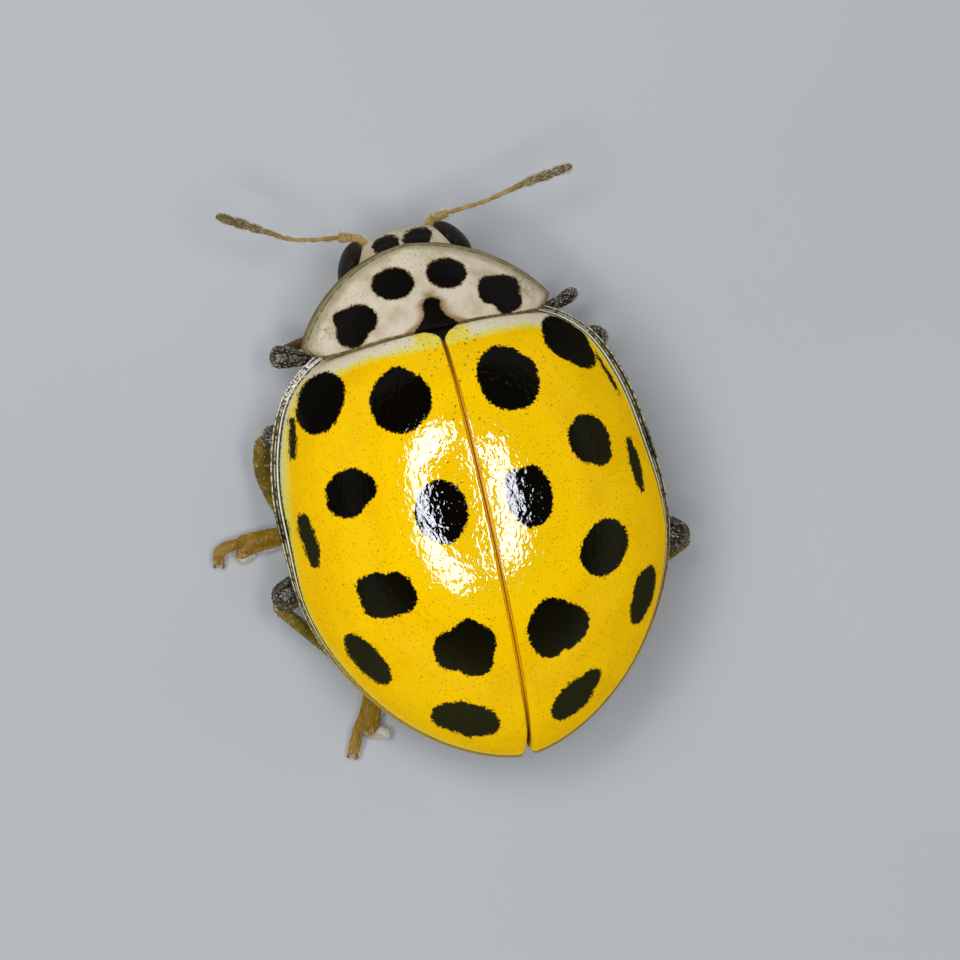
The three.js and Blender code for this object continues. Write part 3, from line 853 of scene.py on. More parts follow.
def shell_layers(rings, beyond, pits, length, spots, side, seed):
    """What the shader needs to know at each point of a wing case."""
    x, y = rings[..., 0], rings[..., 1]
    under = np.s_[:, RIM_END:]
    side_band = 0.040 + np.minimum(beyond, 0.0) - 0.036 * smoothstep(y, -0.35, 0.6)
    base_band = 0.128 - (y - BASE_Y) + 0.05 * smoothstep(x, 0.55, 0.85)
    base_band = np.minimum(base_band, 0.014 + 0.10 * smoothstep(x, 0.12, 0.42))
    cream = np.maximum(base_band, side_band)
    cream[under] = 0.1
    flat = grid(x, y, 0.0)
    uneven = 0.006 * noise(flat, 0.12, 30 + seed) + 0.0048 * noise(flat, 0.05, 31 + seed)
    rim_spot = spot_distance(x, y, RIM_SPOT)
    spot = np.where(beyond > 0, rim_spot, np.minimum(nearest_spot(x, y, spots) + uneven, rim_spot))
    spot[under] = 0.3
    high = (rings[..., 2] - RIM_Z) / DOME_HEIGHT
    from_front = smoothstep(y, 0.3, 1.4) if side > 0 else smoothstep(y, -1.0, 0.2)
    from_front = np.maximum(from_front, smoothstep(x, 1.08, 1.18))
    return {"spot": spot, "pit": pits, "rim": beyond, "cream": cream, "high": high,
            # where the black spots get their painted reflection, low on the dome
            "painted_reflection": smoothstep(high, 1.0, 0.55) * from_front, "rear": smoothstep(y, 0.7, 1.7),
            # where the rim gets painted glints, stronger on the left side
            "shoulder": smoothstep(y, -0.60, -0.78) * (1.0 if side > 0 else 0.35),
            "seam": x / seam_half(y), "run": np.cumsum(length)[:, None],
            "seam_end": np.maximum(smoothstep(y, -0.35, -0.9), smoothstep(y, 1.6, 2.1))}


def elytron(side, spots, seed):
    """One wing case, as a ring for each row: over the dome, round the rim and back through the inside."""
    rng = np.random.default_rng(SEED + seed)
    row_y, half, length, out = shell_plan()
    dome = dome_grid(row_y, half)
    dots, edge_marks, foot_rows = dome_pits(dome, length, rng)
    relief = noise(dome, RELIEF_SIZE, 5 + seed) * RELIEF_HEIGHT
    relief -= PIT_DEPTH * dots + EDGE_PIT_DEPTH * edge_marks
    dome += surface_normals(dome) * relief[..., None]
    rim, rim_share = rim_grid(row_y, half, out)
    rim_pits = np.stack([foot_rows, rng.integers(1, 3, len(foot_rows))], axis=-1)
    rings = np.concatenate([dome, rim, inside_grid(row_y, half)], axis=1)

    beyond = np.full(rings.shape[:2], -1.0)
    beyond[:, :DOME_COLUMNS] = (dome[..., 0] - half[:, None]) * out[:, :1]
    beyond[:, DOME_COLUMNS:RIM_END] = rim_share[:, :RIM_END - DOME_COLUMNS]
    pits = np.zeros(rings.shape[:2])
    pits[:, :DOME_COLUMNS] = np.maximum(dots, 0.85 * edge_marks)
    pits[:, DOME_COLUMNS:DOME_COLUMNS + rim.shape[1]] = stamp(rim, rim_pits, EDGE_PIT_RADIUS, 3)

    corner = 1 - np.clip(rings[..., 0] / TAIL_CORNER, 0, 1)
    at_tail = smoothstep(rings[..., 1], DOME_TAIL - 0.24, TAIL_Y - 0.02)
    rings[..., 1] -= TAIL_CORNER * (1 - np.sqrt(1 - corner ** 2)) * at_tail
    rings[..., 0] += SEAM_GAP + 0.010 * corner * at_tail
    layers = shell_layers(rings, beyond, pits, length, spots, side, seed)
    lean = FORE_LEAN * smoothstep(rings[..., 1], 0.5, -0.1) * (1 - np.clip(layers["high"], 0, 1))
    rings[..., 0] = side * rings[..., 0] + lean
    return Shape().loft(rings, **layers)


# ---- the shield behind the head, and the small black plate ----

SHIELD_WIDTH = SHIELD_HALF - 0.020
SHIELD_HIND = SHIELD_REAR + 0.015
SHIELD_LENGTH = SHIELD_HIND - SHIELD_FRONT
SHIELD_MIDDLE = 0.032
SHIELD_SWING = 0.112
SHIELD_THICKNESS = 0.06
SHIELD_EDGE_LIFT = 0.12
SHIELD_EDGE_RISE = 0.24
SHIELD_FALL = 0.3
SHIELD_PIT_SPACING = 0.019
SHIELD_PIT_TRIES = 20000
SHIELD_PIT_RADIUS = 0.0042
SHIELD_PIT_DEPTH = 0.0025
SHIELD_ROWS = 190
SHIELD_COLUMNS = 240
SHIELD_EDGE_OUT = np.array([0.010, 0.012, 0.004])
SHIELD_EDGE_DOWN = np.array([0.014, 0.034, SHIELD_THICKNESS])
SHIELD_SPOTS = [
    (0.255, -1.40, 0.155, 0.118, -85, ()),
    (-0.15, -1.39, 0.150, 0.113, -75, ()),
    (0.59, -1.165, 0.17, 0.140, 60, ((135, -0.035), (0, -0.025), (-40, 0.025), (75, 0.02))),
    (-0.515, -1.16, 0.18, 0.140, -55, ((45, -0.03), (170, -0.02), (-85, -0.02), (-150, 0.02), (90, 0.02))),
]
KEYHOLE_X = 0.02
KEYHOLE_TIP = -1.246


def shield_half(ahead):
    return SHIELD_WIDTH * (1 - ahead ** 1.5) ** 0.55 * (1 - 0.05 * np.exp(-(ahead / 0.07) ** 2))


def shield_height(ahead, across):
    margin = RIM_Z + SHIELD_EDGE_LIFT + SHIELD_EDGE_RISE * ahead
    middle = RIM_Z + ridge(BASE_Y) - SHIELD_FALL * ahead ** 1.4
    return margin + (middle - margin) * (1 - np.abs(across) ** 2.2) ** 0.7


def shield_top(ahead, half, middle_x):
    """The shield's upper side, and how far each point lies in from its side edges and hind edge."""
    across = np.sin(np.linspace(-math.pi / 2, math.pi / 2, SHIELD_COLUMNS))
    reach = np.abs(across)
    hind_bow = 0.030 * smoothstep(reach, 0.35, 0.80) - 0.085 * smoothstep(reach, 0.84, 1.06) ** 1.5
    y = (SHIELD_HIND - ahead * SHIELD_LENGTH)[:, None] + hind_bow * ((1 - ahead) ** 7)[:, None]
    top = grid(middle_x[:, None] + half[:, None] * across, y, shield_height(ahead[:, None], across))
    slope = np.abs(np.gradient(half, SHIELD_LENGTH * ahead))
    inward = (half[:, None] * (1 - reach)) / np.sqrt(1 + slope ** 2)[:, None]
    hind = (ahead * SHIELD_LENGTH)[:, None] + 0 * across
    top[..., 2] += 0.014 * bump_at(inward, 0.016, 0.010) - 0.010 * bump_at(inward, 0.045, 0.020)
    top[..., 2] -= 0.006 * bump_at(hind, 0.0, 0.010)
    return top, inward, hind


def shield_pits(top, rng):
    """Layers of all the shield's pits and of the dark ones, in a patch at the front and on each flank."""
    chosen = scatter(top, SHIELD_PIT_SPACING, SHIELD_PIT_TRIES, rng)
    place = top[chosen[:, 0], chosen[:, 1]]
    dusty = bump_at(place[:, 0], 0.06, 0.26) * bump_at(place[:, 1], -1.58, 0.11)
    flank = bump_at(np.abs(place[:, 0] - 0.03), 0.62, 0.14) * bump_at(place[:, 1], -1.34, 0.10)
    marked = chosen[rng.uniform(0, 1, len(chosen)) < np.maximum(dusty * 0.9, flank * 0.45)]
    dark = stamp(top, marked, rng.uniform(0.0030, 0.0052, len(marked)), 4)
    return stamp(top, chosen, SHIELD_PIT_RADIUS, 3), dark


def shield_below(ahead, half, middle_x):
    """The shield's under side, which flattens out at the front so that the front wall stays closed."""
    inner = np.linspace(0.94, -0.94, 14)
    arch = smoothstep(ahead, 0.999, 0.95)[:, None]
    lowest = shield_height(ahead[:, None], 1.0)
    height = lowest + arch * (shield_height(ahead[:, None], inner) - lowest) - SHIELD_THICKNESS * 1.6
    y = (SHIELD_HIND - 0.03 - ahead * (SHIELD_LENGTH - 0.03))[:, None]
    return grid(middle_x[:, None] + half[:, None] * inner, y, height)


def shield_layers(x, y, ahead, inward, hind, pits):
    """What the shader needs to know at each point of the shield."""
    stem = 0.068 * np.sqrt(np.clip((y - KEYHOLE_TIP) / 0.045, 0, 1)) - 0.006 * bump_at(y, -1.15, 0.03)
    flare = 0.10 * smoothstep(y, -1.13, SHIELD_HIND + 0.01)
    keyhole = np.maximum(np.abs(x - KEYHOLE_X) - stem - flare, KEYHOLE_TIP - y)
    wobble = noise(grid(x, y, 0.0), 0.045, 14) * 0.005
    corner = smoothstep(ahead, 0.42, 0.18)[:, None]
    side = inward + 0.008 * smoothstep(ahead, 0.45, 0.15)[:, None]
    layers = {"spot": np.minimum(nearest_spot(x, y, SHIELD_SPOTS), keyhole) + wobble + 0.004,
              "stain": keyhole - 0.06 * smoothstep(y, -1.08, SHIELD_HIND), "corner": corner,
              "worn": smoothstep(np.abs(x - 0.05), 0.60, 0.72) * smoothstep(y, -1.05, -1.12)
              * smoothstep(y, -1.50, -1.42)}
    for name, on_top, elsewhere in (("margin", np.minimum(inward, hind + 0.001), -0.02), ("hind", hind, 1.0),
                                    ("side", side, 0.0), ("pit", pits, 0.0)):
        layers[name] = np.full(x.shape, elsewhere)
        layers[name][:, :SHIELD_COLUMNS] = on_top
    return layers


def shield():
    rng = np.random.default_rng(SEED + 3)
    t = np.linspace(0, 1, SHIELD_ROWS)
    ahead = np.minimum(0.35 * t + 0.65 * np.sin(t * math.pi / 2), 0.9995)
    half = shield_half(ahead)
    middle_x = SHIELD_MIDDLE + SHIELD_SWING * ahead * SHIELD_LENGTH
    top, inward, hind = shield_top(ahead, half, middle_x)
    pit, dark = shield_pits(top, rng)
    relief = noise(top, 0.05, 11) * 0.0012 + noise(top, 0.022, 12) * 0.0005
    raised = SHIELD_PIT_DEPTH * np.maximum(pit, dark) - relief
    top += surface_normals(top) * raised[..., None]

    edges = []
    for column, way in ((-1, 1), (0, -1)):
        edge = np.repeat(top[:, [column]], len(SHIELD_EDGE_OUT), axis=1)
        edge[..., 0] += way * SHIELD_EDGE_OUT
        edge[..., 2] -= SHIELD_EDGE_DOWN
        edges.append(edge[:, ::way])
    rings = np.concatenate([top, edges[0], shield_below(ahead, half, middle_x), edges[1]], axis=1)
    pits = np.maximum(pit * 0.12, dark * 0.9)
    return Shape().loft(rings, **shield_layers(rings[..., 0], rings[..., 1], ahead, inward, hind, pits))


SCUTELLUM_HALF = 0.155
SCUTELLUM_THICKNESS = 0.06


def scutellum():
    rows, columns = 40, 40
    front, tip = BASE_Y - 0.03, BASE_Y + 0.100
    t = end_weighted(rows)
    y = front + (tip - front) * t
    half = SCUTELLUM_HALF * (1 - t) ** 1.5 + 0.02 * np.sqrt(1 - t) + 0.0005
    across = np.sin(np.linspace(-math.pi / 2, math.pi / 2, columns))
    level = RIM_Z + ridge(y) - 0.004 - 0.03 * smoothstep(y, BASE_Y + 0.02, BASE_Y - 0.03)
    top = grid(half[:, None] * across, y[:, None], level[:, None] + 0.008 * (1 - across ** 2))
    return Shape().loft(np.concatenate([top, top[:, ::-1] - [0, 0, SCUTELLUM_THICKNESS]], axis=1))


# ---- under side ----

TRUNK_FRONT = -1.42
TRUNK_TAIL_GAP = 0.17
NECK_HALF = 0.62
STERNITE_JOINTS = (0.42, 0.78, 1.08, 1.34, 1.56, 1.74)


def trunk():
    rows, columns = 240, 96
    t = np.linspace(0, 1, rows)
    y = TRUNK_FRONT + (TAIL_Y - TRUNK_TAIL_GAP - TRUNK_FRONT) * (0.5 - 0.5 * np.cos(math.pi * t))
    wide = np.minimum(dome_half(np.maximum(y, BASE_Y + 0.05)) - 0.20, 1.2)
    neck = NECK_HALF * np.clip((y + 1.45) / 0.5, 0, 1) ** 0.5
    wide = np.where(y < BASE_Y, neck, np.minimum(wide, neck + (y - BASE_Y) * 3))
    wide = np.maximum(wide, 0.03) * round_ends(t, 0.05, 0.07)
    angle = full_turn(columns)
    rise = (np.where(y < BASE_Y, 0.18, 0.22) * round_ends(t, 0.05, 0.07))[:, None]
    sink = 0.17 * round_ends(t, 0.05, 0.10)[:, None]
    tall = np.where(np.sin(angle) > 0, rise, sink) * np.sin(angle)
    rings = grid(wide[:, None] * fuller(np.cos(angle), 2.5), y[:, None], RIM_Z + tall)
    under = np.sin(angle) < -0.05
    for joint in STERNITE_JOINTS:
        curve = y[:, None] - joint - 0.10 * rings[..., 0] ** 2
        groove = 0.016 * bump_at(curve, 0.0, 0.012) - 0.010 * bump_at(curve, -0.03, 0.03)
        rings[..., 2] += groove * under
    middle_line = 0.02 * bump_at(rings[..., 0], 0.0, 0.05) * (y[:, None] < 0.1) * under
    rings[..., 2] += middle_line + noise(rings, 0.03, 21) * 0.0015 * under
    return Shape().loft(rings)


# ---- head ----

HEAD_CENTRE = np.array([HEAD_X - 0.01, -1.45, 0.70])
HEAD_HALF = (0.412, 0.345, 0.26)
EYE_PLACE = (0.388, -0.190, -0.005)
EYE_HALF = (0.092, 0.180, 0.160)
EYE_TURN = math.radians(30)
RIGHT_EYE_BACK = 0.040
HEAD_SPOTS = [(0.105, -0.262, 0.098, 0.060, 90, ()), (-0.138, -0.248, 0.112, 0.064, 90, ())]
MOUTH_PLATES = [((0.15, 0.05, 0.07), (0, -0.275, -0.15)), ((0.12, 0.05, 0.045), (0, -0.290, -0.205))]
JAW = [(0.11, -0.22, -0.20), (0.09, -0.30, -0.235), (0.02, -0.325, -0.25)]
PALP = [(0.14, -0.14, -0.22), (0.22, -0.19, -0.27), (0.25, -0.25, -0.32), (0.22, -0.30, -0.36)]


def turned(points, yaw):
    cos, sin = math.cos(yaw), math.sin(yaw)
    x, y = points[..., 0], points[..., 1]
    return np.stack([x * cos - y * sin, x * sin + y * cos, points[..., 2]], axis=-1)


def from_head(points):
    return turned(points, HEAD_YAW) + HEAD_CENTRE


def egg_rings(half, power, rows, columns):
    """Rings of a rounded body about the origin, from its -Y end to its +Y end."""
    t = np.linspace(0, math.pi, rows + 2)[1:-1, None]
    angle = full_turn(columns)
    round_t = fuller(np.sin(t), power)
    return grid(half[0] * round_t * fuller(np.cos(angle), power), -half[1] * fuller(np.cos(t), power),
                half[2] * round_t * fuller(np.sin(angle), power))


def head():
    rows, columns = 150, 180
    y = -HEAD_HALF[1] * np.cos(np.linspace(0, math.pi, rows + 2)[1:-1, None])
    back = np.abs(y) / HEAD_HALF[1]
    wide = HEAD_HALF[0] * (1 - back ** 2.7) ** (1 / 2.7)
    tall = HEAD_HALF[2] * (1 - back ** 2.8) ** (1 / 2.8)
    angle = full_turn(columns)
    droop = 0.03 * smoothstep(-y, 0.12, 0.33)
    rings = grid(wide * fuller(np.cos(angle), 2.5), y, tall * fuller(np.sin(angle), 2.5) - droop)
    rings += noise(rings, 0.05, 31)[..., None] * 0.0010
    chosen = scatter(rings, 0.036, 2500, np.random.default_rng(SEED + 4))
    pit = stamp(rings, chosen, 0.006, 3)
    spot = nearest_spot(rings[..., 0], rings[..., 1], HEAD_SPOTS)
    spot = np.where(rings[..., 2] > 0, spot, 0.2) + noise(rings, 0.04, 32) * 0.006
    return Shape().loft(from_head(rings), spot=spot, pit=pit * 0.5)


def eye(side):
    back = EYE_PLACE[1] + (RIGHT_EYE_BACK if side < 0 else 0)
    rings = turned(egg_rings(EYE_HALF, 2.1, 70, 96), -side * EYE_TURN)
    return Shape().loft(from_head(rings + [side * EYE_PLACE[0], back, EYE_PLACE[2]]))


def mouth():
    """Two plates under the head's front, and a jaw and a palp on each side."""
    shape = Shape()
    for half, place in MOUTH_PLATES:
        shape.loft(from_head(egg_rings(half, 2.6, 40, 56) + place), along=0.2)
    for side in (-1, 1):
        share = end_weighted(36)
        width = np.linspace(0.04, 0.014, 36) * round_ends(share, 0.05, 0.1)
        path = curve_points(np.array(JAW) * [side, 1, 1], share)
        shape.loft(from_head(tube_rings(path, width, width, 20)), along=0.6)
        share = end_weighted(60)
        knob = 0.022 + 0.010 * bump_at(share, 0.35, 0.1) + 0.030 * smoothstep(share, 0.62, 0.92)
        width = (knob - 0.010 * bump_at(share, 0.55, 0.03)) * round_ends(share, 0.05, 0.06)
        path = curve_points(np.array(PALP) * [side, 1, 1], share)
        shape.loft(from_head(tube_rings(path, width, width * 0.7, 24)), along=0.1)
    return shape


# ---- feelers ----

FEELER_LEFT = [(0.33, -1.70, 0.64), (0.40, -1.79, 0.65), (0.50, -1.83, 0.66), (0.72, -1.86, 0.68),
               (0.90, -1.91, 0.69), (1.02, -1.98, 0.72), (1.39, -2.19, 0.80)]
FEELER_RIGHT = [(-0.11, -1.70, 0.64), (-0.17, -1.79, 0.65), (-0.26, -1.83, 0.66), (-0.60, -1.86, 0.69),
                (-0.90, -1.92, 0.72), (-1.28, -1.97, 0.80)]
FEELER_JOINTS = [
    # share of the length, half width
    (0.125, 0.043), (0.085, 0.032), (0.105, 0.0160), (0.080, 0.0150), (0.080, 0.0155), (0.075, 0.0165),
    (0.070, 0.0180), (0.070, 0.0205), (0.090, 0.0300), (0.095, 0.0345), (0.125, 0.0320),
]


def joint_width(half, inner, waist):
    """Half width along one joint of a feeler, narrower at both ends."""
    pinch = np.sqrt(np.clip(1 - (np.abs(inner - 0.56) / 0.56) ** 5, 0, 1))
    swell = 0.80 + 0.20 * np.sin(math.pi * np.clip(inner * 0.75 + 0.1, 0, 1))
    return half * swell * (waist + (1 - waist) * pinch)


def club_width(half, inner):
    """Half width along a feeler's last joint, which ends in a rounded tip."""
    width = half * np.sqrt(np.clip(1 - np.clip((inner - 0.35) / 0.66, 0, 1) ** 2, 0, 1)) + 0.0008
    return np.where(inner < 0.12, width * (0.6 + 0.4 * inner / 0.12), width)


def feeler(stops):
    """Rings along one feeler, and each ring's share of its length."""
    ends = np.cumsum([0] + [share for share, _ in FEELER_JOINTS])
    ends /= ends[-1]
    last = len(FEELER_JOINTS) - 1
    shares, widths = [], []
    for k, (_, half) in enumerate(FEELER_JOINTS):
        inner = np.linspace(0, 1, 17)[:-1] if k < last else np.linspace(0, 1, 24)
        widths.append(joint_width(half, inner, 0.72 if k > 1 else 0.75) if k < last
                      else club_width(half, inner))
        shares.append(ends[k] + (ends[k + 1] - ends[k]) * inner)
    shares, widths = np.concatenate(shares), np.concatenate(widths)
    return tube_rings(curve_points(stops, shares), widths, widths * 0.9, 22), shares


# ---- legs ----

LEGS = {
    # hip, knee, a place the shin bows through, ankle, toe
    "front_left": [(0.50, -0.88, 0.44), (1.21, -1.09, 0.42), (1.00, -1.13, 0.29), (0.66, -1.19, 0.11),
                   (0.38, -1.52, 0.045)],
    "front_right": [(-0.50, -0.80, 0.44), (-1.14, -1.07, 0.42), (-0.80, -0.99, 0.27), (-0.56, -1.20, 0.11),
                    (-0.31, -1.50, 0.045)],
    "middle_left": [(0.50, -0.32, 0.42), (1.40, -0.52, 0.42), (1.43, -0.25, 0.27), (1.30, 0.20, 0.11),
                    (1.89, 0.30, 0.045)],
    "middle_right": [(-0.50, -0.32, 0.42), (-1.27, -0.74, 0.42), (-1.10, -0.42, 0.27), (-1.02, -0.02, 0.11),
                     (-1.17, 0.54, 0.045)],
    "hind_left": [(0.36, 0.22, 0.42), (1.59, 0.72, 0.41), (1.33, 1.02, 0.26), (0.97, 1.47, 0.11),
                  (1.24, 1.93, 0.045)],
    "hind_right": [(-0.36, 0.22, 0.42), (-1.55, 0.93, 0.41), (-1.16, 1.10, 0.26), (-0.92, 1.40, 0.11),
                   (-0.71, 1.82, 0.045)],
}
FEMUR_HALF = {"front_left": 0.082, "front_right": 0.052, "middle_left": 0.085, "middle_right": 0.085,
              "hind_left": 0.112, "hind_right": 0.112}
TIBIA_HALF = {"front": 0.036, "middle": 0.066, "hind": 0.052}
# feet that show: the broad first joints, a lobe, the joint that bears the claws, and the pale pads
FEET = {
    "middle_left": {
        "broad": [(1.22, 0.23, 0.110), (1.50, 0.23, 0.100), (1.74, 0.24, 0.085)],
        "lobe": [(1.58, 0.24, 0.075), (1.68, 0.28, 0.065), (1.75, 0.30, 0.055)],
        "last": [(1.64, 0.22, 0.100), (1.80, 0.22, 0.105), (1.88, 0.25, 0.085), (1.90, 0.33, 0.060)],
        "pads": [[(1.38, 0.26, 0.044), (1.47, 0.28, 0.040), (1.57, 0.28, 0.040)],
                 [(1.62, 0.29, 0.036), (1.69, 0.32, 0.036), (1.75, 0.32, 0.036)]],
    },
    "hind_left": {
        "broad": [(0.97, 1.42, 0.110), (1.04, 1.64, 0.100), (1.12, 1.79, 0.080)],
        "lobe": [(1.00, 1.66, 0.070), (1.04, 1.76, 0.065), (1.09, 1.82, 0.055)],
        "last": [(1.08, 1.66, 0.100), (1.15, 1.75, 0.110), (1.20, 1.85, 0.092), (1.24, 1.94, 0.060)],
        "pads": [[(1.09, 1.78, 0.048), (1.01, 1.82, 0.054), (0.93, 1.86, 0.058)],
                 [(1.01, 1.64, 0.044), (0.99, 1.67, 0.044), (0.96, 1.70, 0.042)]],
    },
}
# half widths and half heights along those tubes, and the share that rounds off their far ends
JOINT_SIZES = {"broad": ([0.050, 0.068, 0.076, 0.082], [0.042, 0.054, 0.052, 0.042], 0.12),
               "lobe": ([0.040, 0.050, 0.044], [0.036, 0.044, 0.034], 0.18),
               "last": ([0.036, 0.040, 0.044, 0.046], [0.032, 0.038, 0.038, 0.034], 0.10)}
PAD_SIZE = ([0.034, 0.046, 0.048], [0.030, 0.038, 0.038])
CLAW_SIZE = [0.014, 0.011, 0.003]
CLAW_LENGTH = 0.036
CLAW_TIP_Z = 0.018


def femur(name):
    hip, knee = np.array(LEGS[name][0]), np.array(LEGS[name][1])
    share = end_weighted(110)
    path = hip + (knee - hip) * share[:, None]
    path[:, 2] += 0.02 * np.sin(math.pi * share)
    width = FEMUR_HALF[name] * (0.50 + 0.54 * smoothstep(share, 0.55, 0.90)) * round_ends(share, 0.08, 0.09)
    rings = tube_rings(path, width, width * 0.86, 56, 2.2)
    rugged = noise(rings, 0.034, 41) * 0.050 + noise(rings, 0.016, 44) * 0.030
    return path[:, None] + (rings - path[:, None]) * (1 + rugged)[..., None]


def tibia(name):
    _, knee, bow, ankle, _ = LEGS[name]
    share = end_weighted(80)
    half = TIBIA_HALF[name.split("_")[0]]
    width = half * (0.78 + 0.42 * np.sin(math.pi * np.clip(share * 0.9, 0, 1)) * 0.8)
    width *= round_ends(share, 0.07, 0.05)
    rings = tube_rings(curve_points([knee, bow, ankle], share), width, width * 0.82, 36, 2.1)
    return rings + noise(rings, 0.03, 42)[..., None] * 0.001


def foot_stops(name):
    """Where a foot's broad joints, side lobe, last joint and pads run."""
    if name in FEET:
        return FEET[name]
    ankle, toe = np.array(LEGS[name][3]), np.array(LEGS[name][4])

    def at(along, height):
        return tuple((ankle + (toe - ankle) * along)[:2]) + (height,)

    return {"broad": [at(-0.06, 0.11), at(0.34, 0.10), at(0.66, 0.08)],
            "lobe": [at(0.42, 0.07), at(0.58, 0.065), at(0.70, 0.055)],
            "last": [at(0.52, 0.10), at(0.68, 0.11), at(0.86, 0.09), at(1.0, 0.06)],
            "pads": [[at(0.12, 0.042), at(0.24, 0.038), at(0.38, 0.036)],
                     [at(0.46, 0.036), at(0.58, 0.034), at(0.70, 0.034)]]}


def foot_tube(path, widths, heights, power=2.2, start=0.10, end=0.12, around=30):
    """Rings of one tube of a foot, whose half width and half height follow the given steps."""
    share = end_weighted(46)
    ends = round_ends(share, start, end)
    wide, tall = (np.interp(share, np.linspace(0, 1, len(steps)), steps) * ends
                  for steps in (widths, heights))
    rings = tube_rings(curve_points(path, share), wide, tall, around, power)
    return rings + noise(rings, 0.022, 43)[..., None] * 0.0022


def tarsus(name):
    """The foot's joints, its pale pads and its claws as three lists of rings."""
    stops = foot_stops(name)
    joints = [foot_tube(stops[part], widths, heights, end=end)
              for part, (widths, heights, end) in JOINT_SIZES.items()]
    pads = [foot_tube(path, *PAD_SIZE, start=0.14, end=0.26, around=24) for path in stops["pads"]]
    tip, before = np.array(stops["last"][-1]), np.array(stops["last"][-2])
    ahead = (tip - before) * [1, 1, 0]
    ahead /= np.linalg.norm(ahead)
    sideways = np.array([-ahead[1], ahead[0], 0.0])
    claws = []
    for way in (-1, 1):
        root = tip + sideways * way * 0.022
        middle = root + ahead * CLAW_LENGTH * 0.6 + sideways * way * 0.010
        point = root + ahead * CLAW_LENGTH * 0.9 + [0, 0, CLAW_TIP_Z - root[2]]
        claws.append(foot_tube([root - ahead * 0.02, middle, point], CLAW_SIZE, CLAW_SIZE, 2.0, 0.1, 0.15,
                               14))
    return joints, pads, claws


# ---- camera, light and floor ----

CAMERA_TILT = math.radians(4.4)
CAMERA_TURN = math.radians(12.9)
CAMERA_FAR = 90.0
SENSOR_WIDTH = 36.0
FRAME_WIDTH = 7.14
AIM = Vector((-0.103, 0.154, RIM_Z))


def leaning_back(tilt):
    """The way up from the animal's back, leaned toward +X by an angle."""
    return Vector((math.sin(tilt), 0, math.cos(tilt)))


def place_object(name, data, place, axes):
    """An object in the scene at a place, its own X, Y and Z lying along three axes."""
    obj = put(name, data)
    obj.matrix_world = Matrix.Translation(place * MM) @ Matrix(axes).transposed().to_4x4()
    return obj


def make_camera():
    back = leaning_back(CAMERA_TILT)
    head_up = Vector((-math.sin(CAMERA_TURN), -math.cos(CAMERA_TURN), 0))
    right = head_up.cross(back).normalized()
    data = bpy.data.cameras.new("camera")
    data.sensor_width = SENSOR_WIDTH
    data.lens = SENSOR_WIDTH * CAMERA_FAR / FRAME_WIDTH
    data.clip_start = 1 * MM
    data.clip_end = 2.0
    place = AIM + back * CAMERA_FAR
    bpy.context.scene.camera = place_object("camera", data, place, (right, back.cross(right), back))


RING_FAR = 46.0
RING_ANGLE = math.radians(21.0)
RING_LEAN = math.radians(3.6)
RING_LIGHTS = 24
# the ring's width, as a share of RING_WIDTH, where it isn't whole; light 0 is toward the tail
RING_SHARE = {0: 0.0, 1: 0.0, 2: 0.7, 7: 0.85, 8: 0.55, 9: 0.0, 10: 0.0, 11: 0.9, 12: 1.35, 13: 1.35, 14: 1.2,
              23: 0.5}
RING_WIDTH = 9.0
RING_LIGHT = 7.9
RING_COLOR = (0.87, 0.905, 1.0)
SKY_LOW = 2.0
SKY_HIGH = 0.008
SKY_COLOR = (0.97, 0.985, 1.0, 1)
SKY_FADE = (0.18, 0.50)
FLOOR_REACH = 400.0


def make_ring():
    """The flash ring whose broken mirror image lies on the wing cases, as a ring of flat lights."""
    back = leaning_back(CAMERA_TILT + RING_LEAN)
    one = Vector((0, 1, 0))
    two = back.cross(one)
    radius = RING_FAR * math.sin(RING_ANGLE)
    side = 2 * radius * math.tan(math.pi / RING_LIGHTS)
    for k in range(RING_LIGHTS):
        width = RING_WIDTH * RING_SHARE.get(k, 1.0)
        if width == 0:
            continue
        angle = 2 * math.pi * (k + 0.5) / RING_LIGHTS
        outward = one * math.cos(angle) + two * math.sin(angle)
        place = AIM + back * RING_FAR * math.cos(RING_ANGLE) + outward * radius
        away = (place - AIM).normalized()
        along = outward.cross(back)
        along = (along - away * away.dot(along)).normalized()
        data = bpy.data.lights.new(f"ring {k}", "AREA")
        data.shape = "RECTANGLE"
        data.size, data.size_y = side * MM, width * MM
        data.energy = RING_LIGHT * math.pi * side * width * MM ** 2
        data.color = RING_COLOR
        place_object(f"ring {k}", data, place, (along, away.cross(along), away))


def make_sky():
    """World light that is bright near the horizon and nearly dark overhead."""
    world = bpy.data.worlds.new("studio")
    world.use_nodes = True
    tree = world.node_tree
    place = tree.nodes.new("ShaderNodeTexCoord")
    parts = tree.nodes.new("ShaderNodeSeparateXYZ")
    tree.links.new(place.outputs["Generated"], parts.inputs[0])
    strength = tree.nodes.new("ShaderNodeMapRange")
    strength.interpolation_type = "SMOOTHSTEP"
    for socket, value in zip(strength.inputs, (0.0, *SKY_FADE, SKY_LOW, SKY_HIGH)):
        socket.default_value = value
    tree.links.new(parts.outputs["Z"], strength.inputs["Value"])
    background = tree.nodes["Background"]
    background.inputs["Color"].default_value = SKY_COLOR
    tree.links.new(strength.outputs["Result"], background.inputs["Strength"])
    bpy.context.scene.world = world
    bpy.context.scene.view_settings.view_transform = "Standard"


def make_floor():
    n = Nodes("pale floor")
    color = n.mix(n.cloud(6.0, 0.3, 0.7), FLOOR_DARK, FLOOR_LIGHT)
    material = n.finish(color, 0.7, n.bump(n.noise(0.25), 0.003, 0.2))
    mesh = bpy.data.meshes.new("floor")
    reach = FLOOR_REACH * MM
    corners = [(-reach, -reach, 0), (reach, -reach, 0), (reach, reach, 0), (-reach, reach, 0)]
    mesh.from_pydata(corners, [], [(0, 1, 2, 3)])
    mesh.materials.append(material)
    put("floor", mesh)


# ---- putting it together ----


